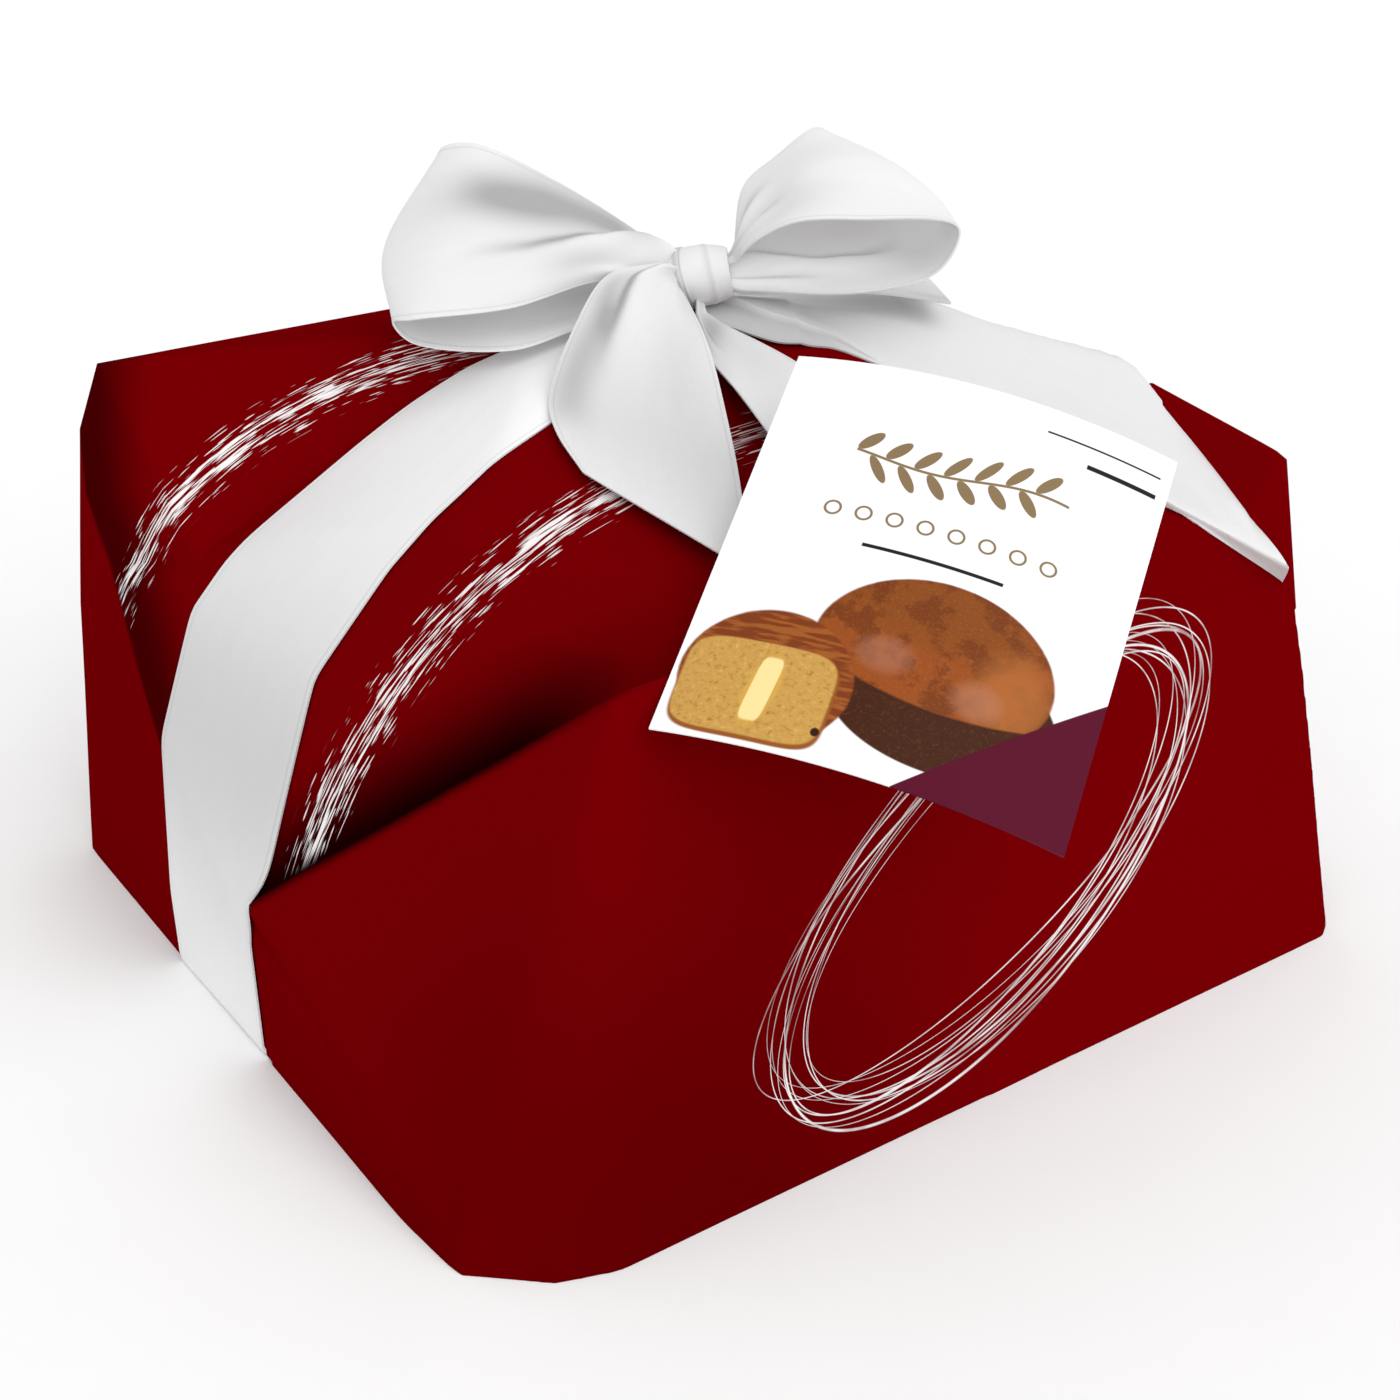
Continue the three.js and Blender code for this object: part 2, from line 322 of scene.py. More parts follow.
def ribbon_grid(name, rows, shades=None):
    """A strip of faces whose rows of points lie across a ribbon, with a UV map along it.

    shades, the painted shade of each point, is kept as an attribute for the satin.
    """
    bpy.ops.object.select_all(action="DESELECT")
    across = len(rows[0])
    bpy.ops.mesh.primitive_grid_add(
        x_subdivisions=across - 1, y_subdivisions=len(rows) - 1, size=1, calc_uvs=True)
    strip = bpy.context.object
    strip.name = name
    points = [point for line in rows for point in line]
    for vertex, point in zip(strip.data.vertices, points):
        vertex.co = point
    layer = strip.data.attributes.new("shade", "FLOAT", "POINT")
    values = [shade for line in shades for shade in line] if shades else [0.0] * len(points)
    layer.data.foreach_set("value", values)
    return strip


def thicken(strip, thickness, offset, levels=1):
    """Gives a strip its thickness and a finer mesh."""
    if levels:
        fine = strip.modifiers.new("fine", "SUBSURF")
        fine.levels = levels
        fine.render_levels = levels
    shell = strip.modifiers.new("thick", "SOLIDIFY")
    shell.thickness = thickness
    shell.offset = offset
    apply_all(strip)
    smooth_shade(strip, 50)


def wave_set(seed):
    """A few waves of chance direction and pace, for slow unevenness."""
    chance = random.Random(seed)
    waves = []
    for _ in range(5):
        way = Vector([chance.uniform(-1, 1) for _ in range(3)]).normalized()
        waves.append((way, chance.uniform(60, 190), chance.uniform(0, 6.28)))
    return waves


def wrinkle(waves, place):
    """Slow smooth unevenness at a place, between about -1 and 1."""
    return sum(math.sin(place.dot(way) * pace + start) for way, pace, start in waves) / len(waves)


# Shader helpers

class Field:
    """A number, a vector or a colour in a shader tree. Numbers take the signs of arithmetic."""

    def __init__(self, tree, socket):
        self.tree = tree
        self.socket = socket

    def __add__(self, other):
        return calc("ADD", self, other)

    def __sub__(self, other):
        return calc("SUBTRACT", self, other)

    def __rsub__(self, other):
        return calc("SUBTRACT", other, self)

    def __mul__(self, other):
        return calc("MULTIPLY", self, other)

    def __truediv__(self, other):
        return calc("DIVIDE", self, other)

    def __abs__(self):
        return calc("ABSOLUTE", self)


def feed(tree, socket, value):
    """Links a field to a socket, or sets the socket's own value."""
    if isinstance(value, Field):
        tree.links.new(value.socket, socket)
    else:
        socket.default_value = value


def add_node(tree, kind, output, values=None, **settings):
    """Adds a node, sets its own settings, feeds its sockets, and gives one of its outputs."""
    made = tree.nodes.new(kind)
    for key, value in settings.items():
        setattr(made, key, value)
    for key, value in (values or {}).items():
        feed(tree, made.inputs[key], value)
    return Field(tree, made.outputs[output])


def tree_of(values):
    """The tree that holds the first field among some values."""
    return next(value.tree for value in values if isinstance(value, Field))


def calc(operation, *values):
    """One step of arithmetic."""
    return add_node(tree_of(values), "ShaderNodeMath", 0, dict(enumerate(values)), operation=operation)


def vector_calc(operation, *values):
    """One step of arithmetic on vectors."""
    output = "Value" if operation in ("DOT_PRODUCT", "DISTANCE") else "Vector"
    return add_node(
        tree_of(values), "ShaderNodeVectorMath", output, dict(enumerate(values)), operation=operation)


def larger(first, *others):
    """The largest of several numbers."""
    for other in others:
        first = calc("MAXIMUM", first, other)
    return first


def length_of(x, y):
    """Length of a flat vector."""
    return calc("SQRT", x * x + y * y)


def ramp(value, low, high, start=0.0, end=1.0):
    """Smooth step of a number from low to high."""
    return add_node(
        value.tree, "ShaderNodeMapRange", "Result",
        {"Value": value, "From Min": low, "From Max": high, "To Min": start, "To Max": end},
        interpolation_type="SMOOTHSTEP")


def fade(value, low, high):
    """Smooth step down, from one at low to nothing at high."""
    return ramp(value, low, high, 1.0, 0.0)


def noise(vector, scale, detail=2.0, roughness=0.5):
    """Noise centred on a half."""
    return add_node(
        vector.tree, "ShaderNodeTexNoise", "Fac",
        {"Vector": vector, "Scale": scale, "Detail": detail, "Roughness": roughness})


def mix_colour(mask, first, second):
    """Mixes two colours by a mask."""
    return add_node(mask.tree, "ShaderNodeMix", 2, {0: mask, 6: first, 7: second}, data_type="RGBA")


def scale_colour(colour, factor):
    """A colour made lighter or darker by a factor."""
    return add_node(
        colour.tree, "ShaderNodeVectorMath", "Vector", {0: colour, "Scale": factor}, operation="SCALE")


def parts_of(vector):
    """The three numbers of a vector."""
    made = vector.tree.nodes.new("ShaderNodeSeparateXYZ")
    feed(vector.tree, made.inputs[0], vector)
    return [Field(vector.tree, socket) for socket in made.outputs]


def join_parts(x, y, z=0.0):
    """A vector from three numbers."""
    return add_node(x.tree, "ShaderNodeCombineXYZ", 0, {"X": x, "Y": y, "Z": z})


def bump(height, distance, strength):
    """A surface normal from a height."""
    return add_node(
        height.tree, "ShaderNodeBump", 0, {"Height": height, "Distance": distance, "Strength": strength})


def facing(tree, way, low, high):
    """Mask of the faces of a piece that look a given way."""
    normal = add_node(tree, "ShaderNodeNewGeometry", "True Normal")
    return ramp(vector_calc("DOT_PRODUCT", normal, tuple(way)), low, high)


def scaled_uv(tree, width, length):
    """Places on a piece, from its UV map scaled to its width and length."""
    uv = add_node(tree, "ShaderNodeTexCoord", "UV")
    return add_node(tree, "ShaderNodeMapping", 0, {"Vector": uv, "Scale": (width, length, 1.0)})


def new_group(name, inputs):
    """An empty shader node group. An input without a number is a vector."""
    tree = bpy.data.node_groups.new(name, "ShaderNodeTree")
    for label, value in inputs.items():
        kind = "NodeSocketVector" if value is None else "NodeSocketFloat"
        socket = tree.interface.new_socket(label, in_out="INPUT", socket_type=kind)
        if value is not None:
            socket.default_value = value
    given = tree.nodes.new("NodeGroupInput").outputs
    return tree, {label: Field(tree, given[label]) for label in inputs}


def end_group(tree, results):
    """Gives a group its outputs."""
    for label in results:
        tree.interface.new_socket(label, in_out="OUTPUT", socket_type="NodeSocketFloat")
    out = tree.nodes.new("NodeGroupOutput").inputs
    for label, value in results.items():
        feed(tree, out[label], value)
    return tree


def group_node(tree, name, maker, values):
    """Places a group, made on first use, in a material with its own values."""
    made = tree.nodes.new("ShaderNodeGroup")
    made.node_tree = bpy.data.node_groups.get(name) or maker(name)
    for key, value in values.items():
        feed(tree, made.inputs[key], value)
    return {socket.name: Field(tree, socket) for socket in made.outputs}


def print_plane_group(name):
    """Millimetres across and up the plane that the paper's stripes are printed in."""
    tree, given = new_group(name, {"Position": None})
    across, up = [
        vector_calc("DOT_PRODUCT", given["Position"], tuple(way)) * (1 / MM)
        for way in (PRINT_RIGHT, PRINT_UP)]
    return end_group(tree, {"Across": across, "Up": up})


def fold_shade_group(name):
    """Soft shade above the lip of a folded panel. It is darkest at the lip and dies away above it."""
    tree, given = new_group(
        name, {"Position": None, "Start": None, "End": None, "Above": None, "Reach": 0.02})
    along = vector_calc("SUBTRACT", given["End"], given["Start"])
    offset = vector_calc("SUBTRACT", given["Position"], given["Start"])
    share = vector_calc("DOT_PRODUCT", offset, along) / vector_calc("DOT_PRODUCT", along, along)
    height = vector_calc("DOT_PRODUCT", offset, given["Above"])
    mask = fade(height / given["Reach"], 0.0, 1.0) * ramp(height, -0.003, 0.0005)
    return end_group(tree, {"Mask": mask * ramp(share, -0.35, 0.05) * fade(share, 0.7, 1.12)})


def printed_ring_group(name):
    """A thin oval line on a flat field, uneven in width and strength."""
    tree, given = new_group(name, {
        "Position": None, "Centre": None, "Turn": 0.0, "Long": 0.08, "Short": 0.03, "Line": 0.0005})
    x, y, _ = parts_of(vector_calc("SUBTRACT", given["Position"], given["Centre"]))
    cosine, sine = calc("COSINE", given["Turn"]), calc("SINE", given["Turn"])
    a = (x * cosine + y * sine) / given["Long"]
    b = (y * cosine - x * sine) / given["Short"]
    level = length_of(a, b)
    slope = length_of(a / given["Long"], b / given["Short"])
    gap = abs(level * (level - 1.0) / slope)
    turned = given["Turn"] * 19.0
    swell = calc("SINE", calc("ARCTAN2", b, a) + turned) * 0.4 + 0.75
    worn = ramp(noise(join_parts(a * 2.2, b * 2.2, turned), 1.0, 3.0, 0.6), 0.32, 0.62, 0.22, 0.95)
    return end_group(tree, {"Mask": fade(gap / (given["Line"] * swell), 0.4, 1.0) * worn})


def dry_brush_group(name):
    """A stripe of broken streaks along an arc, as from a dry brush. Lengths are in millimetres."""
    tree, given = new_group(name, {
        "Across": 0.0, "Up": 0.0, "Centre": None, "Radius": 120.0, "From": 2.6, "To": 1.7, "Seed": 0.0})
    middle_x, middle_y, _ = parts_of(given["Centre"])
    x, y = given["Across"] - middle_x, given["Up"] - middle_y
    off = length_of(x, y) - given["Radius"]
    angle = calc("ARCTAN2", y, x)
    share = (angle - given["From"]) / (given["To"] - given["From"])
    run = angle * given["Radius"]
    broad = noise(join_parts(off, run * 0.026, given["Seed"]), 1.0, 1.0)
    fine = noise(join_parts(off * 2.6, run * 0.11, given["Seed"] + 4.0), 1.0, 1.0)
    core = fade(abs(off), 0.4, 3.6)
    skirt = fade(abs(off), 1.5, 7.0)
    heavy = broad + core * 0.13 + fade(share, 0.0, 0.16) * 0.05
    light = fine + skirt * 0.08 + core * 0.05
    mask = larger(
        ramp(heavy, 0.655, 0.69) * ramp(core, 0.02, 0.2) * ramp(fine, 0.38, 0.52),
        ramp(light, 0.655, 0.70) * ramp(skirt, 0.0, 0.15) * 0.9)
    ends = ramp(share + (fine - 0.5) * 0.12, -0.04, 0.01) * fade(share + (broad - 0.5) * 0.5, 0.9, 1.1)
    return end_group(tree, {"Mask": mask * ends})


def paper_fibre_group(name):
    """Fine fibre and slow unevenness of paper and card."""
    tree, given = new_group(name, {"Position": None})
    fibre = noise(given["Position"], 1400.0, 3.0, 0.6)
    tone = noise(given["Position"], 18.0, 3.0) * 0.7 + fibre * 0.3
    return end_group(tree, {"Tone": tone, "Height": fibre})


def satin_group(name):
    """Threads and grain of satin, with a thin woven edge on each side. UV is in metres."""
    tree, given = new_group(name, {"UV": None, "Width": 0.05, "Grain": 0.3})
    x, y, _ = parts_of(given["UV"])
    threads = noise(join_parts(x * 3600.0, y * 220.0), 1.0, 2.0, 0.6)
    slubs = noise(join_parts(x * 260.0, y * 60.0), 1.0, 2.0)
    grain = noise(given["UV"], 1500.0, 3.0, 0.65)
    half = given["Width"] * 0.5
    rim = half - abs(x - half)
    edge = fade(rim, 0.0009, 0.0013)
    seam = ramp(rim, 0.0010, 0.0013) * fade(rim, 0.0013, 0.0018)
    stitch = edge * (calc("SINE", y * 7000.0) * 0.5 + 0.5)
    tone = threads * 0.3 + slubs * 0.4 + grain * (given["Grain"] + 0.3)
    height = threads * 0.5 + stitch * 1.6 + grain * given["Grain"] * 2.5
    return end_group(tree, {
        "Tone": tone - given["Grain"] * 0.5, "Height": height - seam * 0.8, "Edge": edge, "Seam": seam})


# Materials

# The lip of the front panel's left edge, in hundredths, and the way that is up from it over the roof
FRONT_LIP = [(-101, -2.5, 28.5), (-58.5, -68, 74.5)]
ABOVE_LIP = Vector((-0.079, 0.649, 0.756)).normalized()
# Depth of the painted shade above the lip, in metres, and strength of the painted shade by the far fold
LIP_SHADE_REACH = 0.024
SIDE_SHADE = 0.72
# Brush stripes in the print plane: centre, radius, first and last angle, seed
STRIPES = [
    ((-42.2, 19.5), 122.8, 152.0, 99.0, 3.0),
    ((61.5, -42.7), 168.6, 159.0, 108.0, 8.0),
]
# The left wall's far fold in the print plane: its place and bend, and how it leans below the bend
SIDE_FOLD = (-159.2, 106.0)
SIDE_FOLD_SLOPE = 0.354
# The foot of the front panel's left end, round which a painted shade makes the paper a little darker
NEAR_FOOT = (-62, -95, 2)
# How many ovals are printed on the front, which of them are bold, and their lines in millimetres
RING_COUNT = 13
BOLD_RINGS = (2, 7, 11)
BOLD_LINE, FINE_LINE = 0.42, 0.23
# The card's ornament and rules, in millimetres: steps of leaves and rings, and corners of the rules
LEAF_STEP = 6.4
LEAF_TILT = math.radians(52)
RING_STEP = 6.6
CARD_RULES = [((28, 51.7), (58, 52.6)), ((57, 92.6), (82.5, 93.1)), ((67, 87.2), (82.5, 88.4))]
# The printed loaf's dome: centre and radii in millimetres
DOME = ((49.7, 30.0), (24.8, 18.2))


def new_material(name):
    """An empty material with its surface shader."""
    material = bpy.data.materials.new(name)
    material.use_nodes = True
    tree = material.node_tree
    tree.nodes.clear()
    shader = tree.nodes.new("ShaderNodeBsdfPrincipled")
    out = tree.nodes.new("ShaderNodeOutputMaterial")
    tree.links.new(shader.outputs[0], out.inputs["Surface"])
    return material, tree, shader


def set_surface(tree, shader, values):
    """Feeds the sockets of a surface shader."""
    for label, value in values.items():
        feed(tree, shader.inputs[label], value)


def front_rings(place):
    """A sheaf of thin printed ovals on the front panel."""
    x, _, z = parts_of(place)
    flat = join_parts(x, z * 1.055)
    chance = random.Random(5)
    rings = []
    for i in range(RING_COUNT):
        centre = Vector((15 + chance.uniform(-4, 5), 54 + chance.uniform(-3, 3), 0)) * MM
        rings.append(group_node(place.tree, "printed ring", printed_ring_group, {
            "Position": flat, "Centre": centre, "Turn": math.radians(26 + chance.uniform(-4, 4)),
            "Long": (73 + chance.uniform(-8, 5)) * MM, "Short": (30 + chance.uniform(-6, 4)) * MM,
            "Line": (BOLD_LINE if i in BOLD_RINGS else FINE_LINE) * MM})["Mask"])
    return larger(*rings)


def roof_stripes(across, up):
    """Two printed brush stripes that sweep over the roof and the left wall."""
    return larger(*[
        group_node(across.tree, "dry brush stripe", dry_brush_group, {
            "Across": across, "Up": up, "Centre": (*centre, 0.0), "Radius": radius,
            "From": math.radians(start), "To": math.radians(end), "Seed": seed})["Mask"]
        for centre, radius, start, end, seed in STRIPES])


def past_side_fold(across, up):
    """How far a place lies to the right of the fold down the left wall's far end, in millimetres."""
    left, bend = SIDE_FOLD
    return across - (calc("MAXIMUM", bend - up, 0.0) * SIDE_FOLD_SLOPE + left)


def side_fold_shade(off, across, up):
    """Shade to the right of the fold that runs down the far end of the left wall."""
    return ramp(off, -0.8, 0.8) * fade(off, 4.0, 22.0) * ramp(up, 24.0, 44.0) * fade(across, -118.0, -100.0)


def paper_material():
    """Smooth coated paper, deep red, with white printed rings and brush stripes, and painted shade in its
    folds and round the near foot.
    """
    paper = bpy.context.scene.gift_paper
    material, tree, shader = new_material("red_paper")
    place = add_node(tree, "ShaderNodeTexCoord", "Object")
    fibre = group_node(tree, "paper fibre", paper_fibre_group, {"Position": place})
    plane = group_node(tree, "print plane", print_plane_group, {"Position": place})
    across, up = plane["Across"], plane["Up"]
    start, end = [corner(*p) for p in FRONT_LIP]
    fold = group_node(tree, "fold shade", fold_shade_group, {
        "Position": place, "Start": start, "End": end, "Above": ABOVE_LIP, "Reach": LIP_SHADE_REACH})["Mask"]
    past_fold = past_side_fold(across, up)
    printed_side = facing(tree, PRINT_OUT, 0.0, 0.15)
    # Painted shade: the red is darkened above the front panel's lip and beside the left wall's far fold, on
    # the faces turned the print plane's way, and round the near foot
    folds = larger(fold, side_fold_shade(past_fold, across, up) * SIDE_SHADE) * printed_side
    foot = vector_calc("DISTANCE", place, corner(*NEAR_FOOT))
    red = mix_colour(larger(folds, ramp(foot, 0.01, 0.1, 0.36, 0.0)), paper.colour, paper.shade)
    _, y, z = parts_of(place)
    on_front = fade(y - z * 0.34, -0.088, -0.086)
    above_lip = vector_calc("DOT_PRODUCT", vector_calc("SUBTRACT", place, start), ABOVE_LIP)
    stripes = roof_stripes(across, up) * (1.0 - on_front) * ramp(above_lip, 0.0, 0.004) * larger(
        ramp(past_fold, 0.0, 1.5), 1.0 - printed_side)
    ink = larger(front_rings(place) * on_front, stripes)
    toned = scale_colour(red, fibre["Tone"] * 0.1 + 0.95)
    set_surface(tree, shader, {
        "Base Color": mix_colour(ink, toned, paper.print_colour),
        "Roughness": fibre["Tone"] * 0.12 + 0.4, "Specular IOR Level": 0.0,
        "Normal": bump(fibre["Height"], 0.00002, 0.3)})
    return material


def satin_material(name, width, length, grain=0.1, thin=0.25):
    """White satin with fine threads along it, a woven edge, and painted shade from its shade attribute, grey
    in its folds and hollows.
    """
    ribbon = bpy.context.scene.gift_ribbon
    material, tree, shader = new_material(name)
    satin = group_node(tree, "satin weave", satin_group, {
        "UV": scaled_uv(tree, width, length), "Width": width, "Grain": grain})
    # Painted shade: the shade attribute mixes the white towards the painted shade colour
    folds = add_node(tree, "ShaderNodeAttribute", "Fac", attribute_name="shade")
    shaded = mix_colour(calc("MINIMUM", folds, 1.0), ribbon.colour, ribbon.painted_shade_colour)
    tone = ramp(satin["Tone"], 0.2, 0.8, 0.955, 1.0) * (1.0 - satin["Seam"] * 0.14)
    set_surface(tree, shader, {
        "Base Color": scale_colour(shaded, tone), "Roughness": satin["Edge"] * 0.2 + 0.42,
        "Specular IOR Level": 0.3, "Sheen Weight": 0.1, "Sheen Roughness": 0.4,
        "Subsurface Weight": thin, "Subsurface Radius": (1.0, 1.0, 1.0), "Subsurface Scale": 0.0012,
        "Normal": bump(satin["Height"], 0.00005, 0.5)})
    return material


def oval_mask(at, centre, radii, turn=0.0, soft=0.03):
    """A filled oval on the card."""
    cosine, sine = math.cos(turn), math.sin(turn)
    x, y = at[0] - centre[0], at[1] - centre[1]
    a = x * (cosine / radii[0]) + y * (sine / radii[0])
    b = y * (cosine / radii[1]) - x * (sine / radii[1])
    return fade(a * a + b * b, 1.0 - soft, 1.0 + soft)


def block_mask(at, centre, radii, soft=0.06):
    """A filled block with rounded corners on the card."""
    a, b = [calc("POWER", abs((p - c) * (1 / r)), 5.0) for p, c, r in zip(at, centre, radii)]
    return fade(a + b, 1.0 - 2 * soft, 1.0 + 2 * soft)


def box_mask(at, low, high, soft=0.12):
    """A filled rectangle on the card."""
    across, up = [
        ramp(p, a - soft, a + soft) * fade(p, b - soft, b + soft) for p, a, b in zip(at, low, high)]
    return across * up


def paint(colour, *layers):
    """Lays tints over a colour, each through its mask."""
    for mask, tint in layers:
        colour = mix_colour(mask, colour, (*tint, 1.0))
    return colour


def paint_loaf(colour, at, spot):
    """The printed domed loaf in its dark baking case."""
    x, y = at
    crust = noise(spot, 0.16, 5.0, 0.6)
    pores = noise(spot, 1.6, 4.0, 0.7)
    case = oval_mask(at, (54, 20.5), (23.5, 15.2)) * ramp(x, 32.6, 33.4)
    case_line = fade(abs(calc("FRACT", crust * 9.0 + y * 0.13) - 0.5), 0.0, 0.03)
    dome = oval_mask(at, *DOME) * ramp(y - calc("POWER", x - 53.0, 2.0) * 0.009, 18.3, 19.0)
    patches = (
        (oval_mask(at, (48, 42), (24, 9), soft=0.9) * 0.55, (0.19, 0.055, 0.008)),
        (ramp(crust, 0.47, 0.58) * 0.75, (0.15, 0.032, 0.006)),
        (ramp(pores, 0.5, 0.75) * 0.45, (0.42, 0.16, 0.035)),
        (oval_mask(at, (67, 27), (8, 10), soft=0.95) * 0.65, (0.45, 0.15, 0.035)),
        (oval_mask(at, (40, 28), (5.5, 4), soft=0.9) * 0.5, (0.42, 0.17, 0.10)),
        (oval_mask(at, (60, 24), (5, 4), soft=0.9) * 0.5, (0.46, 0.19, 0.11)),
    )
    middle = dome * oval_mask(at, *DOME, soft=0.12)
    return paint(
        colour, (case, (0.055, 0.014, 0.004)), (case * case_line * 0.45, (0.30, 0.13, 0.045)),
        (dome, (0.295, 0.068, 0.010)), *[(mask * dome, tint) for mask, tint in patches],
        ((dome - middle) * 0.5, (0.14, 0.03, 0.005)))


def paint_slice(colour, at, spot):
    """The printed slice, with its crust, its crumb and the cream in its middle."""
    x, y = at
    grain = noise(spot, 0.75, 4.0, 0.75)
    streak = noise(join_parts(x * 0.12, y * 0.7), 1.0, 3.0)
    crust = oval_mask(at, (18.7, 16.5), (17.7, 15.9), soft=0.04) * ramp(y, 3.0, 3.4)
    base = block_mask(at, (17.6, 12.3), (15.9, 11.2))
    crumb = block_mask(at, (17.4, 13.2), (15.4, 11.0))
    halo = oval_mask(at, (18.9, 13.3), (3.3, 8.6), -0.12, 0.3)
    cream = block_mask((x - (y - 13.4) * 0.09, y), (18.9, 13.4), (2.3, 7.6), 0.12)
    raisin = oval_mask(at, (32.0, 6.6), (0.9, 1.0), soft=0.4)
    return paint(
        colour, (crust, (0.20, 0.04, 0.008)), (crust * ramp(streak, 0.45, 0.6) * 0.7, (0.40, 0.12, 0.022)),
        (base, (0.30, 0.09, 0.015)), (crumb, (0.57, 0.32, 0.078)),
        (crumb * ramp(grain, 0.5, 0.72), (0.36, 0.165, 0.028)),
        (crumb * fade(grain, 0.28, 0.44) * 0.8, (0.82, 0.53, 0.17)),
        (halo * 0.6, (0.68, 0.40, 0.06)), (cream, (0.93, 0.72, 0.32)), (raisin, (0.03, 0.01, 0.003)))


def leaf_row(at, height, tilt):
    """Leaves in a row along a stem, one to each step."""
    cell = calc("FLOORED_MODULO", at[0], LEAF_STEP) - LEAF_STEP / 2
    return oval_mask((cell, at[1] - height), (0.0, 0.0), (3.6, 1.25), tilt, 0.12)


def ornament(at):
    """A gold sprig with a row of rings below it."""
    x, y = at
    level = y - calc("SINE", x * 0.13) * 1.6
    stem = box_mask((x, level), (20, 74.6), (66, 75.3))
    upper = leaf_row((x, level), 78.1, LEAF_TILT) * box_mask(at, (19.2, 60), (64.0, 90))
    lower = leaf_row((x + LEAF_STEP / 2, level), 71.8, -LEAF_TILT) * box_mask(at, (22.4, 60), (60.8, 90))
    cell = (calc("FLOORED_MODULO", x - 16.2, RING_STEP) - RING_STEP / 2, y)
    ring = oval_mask(cell, (0, 59.8), (1.9, 1.9), soft=0.12) - oval_mask(
        cell, (0, 59.8), (1.35, 1.35), soft=0.2)
    return larger(stem, upper, lower, ring * box_mask(at, (16.2, 55), (69.0, 65)))


def card_material():
    """White card printed with a loaf, a slice, a gold ornament and a plum corner."""
    card = bpy.context.scene.gift_card
    material, tree, shader = new_material("printed_card")
    spot = scaled_uv(tree, card.width / MM, card.height / MM)
    x, y, _ = parts_of(spot)
    at = (x, y)
    place = add_node(tree, "ShaderNodeTexCoord", "Object")
    fibre = group_node(tree, "paper fibre", paper_fibre_group, {"Position": place})
    off_white = tuple(0.975 * c for c in card.colour[:3]) + (1.0,)
    bare = mix_colour(ramp(fibre["Tone"], 0.2, 0.8), card.colour, off_white)
    printed = paint_slice(paint_loaf(bare, at, spot), at, spot)
    printed = mix_colour(ornament(at), printed, card.gold)
    rules = larger(*[box_mask(at, *rule) for rule in CARD_RULES])
    printed = paint(printed, (rules, (0.012, 0.011, 0.011)))
    printed = mix_colour(ramp(x - y * 1.01, 49.0, 49.4), printed, card.plum)
    set_surface(tree, shader, {
        "Base Color": mix_colour(facing(tree, CARD_OUT, -0.6, -0.4), bare, printed),
        "Roughness": fibre["Tone"] * 0.1 + 0.35, "Specular IOR Level": 0.1,
        "Normal": bump(fibre["Height"], 0.00002, 0.25)})
    return material


def floor_material():
    """Plain pale floor."""
    material, tree, shader = new_material("pale_floor")
    grain = noise(add_node(tree, "ShaderNodeTexCoord", "Object"), 40.0)
    set_surface(tree, shader, {
        "Base Color": mix_colour(grain, (0.95, 0.95, 0.95, 1), (0.97, 0.97, 0.97, 1)),
        "Roughness": 0.9, "Specular IOR Level": 0.05})
    return material


# The paper pack

NEAR_LEFT = [(-101, -65, 0), (-100, -83, 0), (-88, -95, 0), (-77.6, -99, 0)]
NEAR_RIGHT = [(93.6, -100, 0), (98.4, -96.5, 0)]
WALL_FOOT = (-100.4, 0, 24.5)
WALL_MIDDLE = (-97.5, 45, 39.5)
WALL_BEND = (-96, 60, 51)
WALL_NECK = (-93.3, 76.5, 61.5)
EAR_TIP = (-88, 81.5, 93.5)
EAR_BACK = (-92, 85, 82.5)
BACK_EDGE = (-93.6, 95.5, 48.5)
SHOULDER_FOLD = (-60.5, -62, 68.5)
RIBBON_SEAT = [
    (-85, 40, 60), (-72, 40, 72.5), (-55, 40, 79.5), (-36, 40, 87.3),
    (-83, -4.5, 62.5), (-66.5, -4.5, 76.5), (-57, -4.5, 82.5), (-47, -4.5, 87.3),
    (-25.5, 17.5, 95.5), (-9.5, 17.5, 99.5), (13.5, 17.5, 100), (24, 10.5, 99.5),
]
FRONT_EDGE = [(-32, -66.5, 74), (66.5, -66.5, 74), (88, -69, 70.5)]
RIGHT_EDGE = [(99, -75.5, 54), (92, -33, 83.5), (94, -24, 86.5), (77.5, -13.5, 90.3), (64, 2.5, 94.5)]
# The upper edge of the front panel, which stays crisp
LIP = FRONT_LIP + [(-28, -67.5, 75), (66.5, -67, 74.8)]
# The channel under the base where the ribbon passes, in millimetres of the pack
CHANNEL_LEFT = [(-130, -6), (-130, 46.5)]
CHANNEL_RIGHT = [(130, -77.5), (130, -24)]
CHANNEL_DEPTH = 1.3


def hump_block():
    """The main body, from the base up to the roof."""
    base = [corner(*p) for p in NEAR_LEFT + NEAR_RIGHT] + [opposite(*p) for p in NEAR_LEFT + NEAR_RIGHT]
    seen = [corner(*p) for p in RIBBON_SEAT + FRONT_EDGE + RIGHT_EDGE]
    far = [opposite(*SHOULDER_FOLD), opposite(*WALL_FOOT), opposite(-83, -4.5, 62.5)]
    back = [
        (32, 78, 90), (-36, 77, 85), BACK_EDGE, WALL_NECK, WALL_BEND, WALL_MIDDLE, WALL_FOOT, SHOULDER_FOLD]
    return hull_block("paper_hump", base + seen + far + [corner(*p) for p in back])


def shoulder_block():
    """The far shoulder with its folded ear."""
    return hull_block("paper_shoulder", [corner(*p) for p in [
        EAR_TIP, EAR_BACK, BACK_EDGE, WALL_NECK, (40, 78, 93), (54, 86, 60),
        (-83, 41, 60.5), (-55, 41, 79.3), (-36, 41, 87.3), (-8, 36, 98), (16, 31, 99),
        (-93.6, 100, 0), (-98.4, 96.5, 0), (32, 100, 0), (0, 20, 0)]])


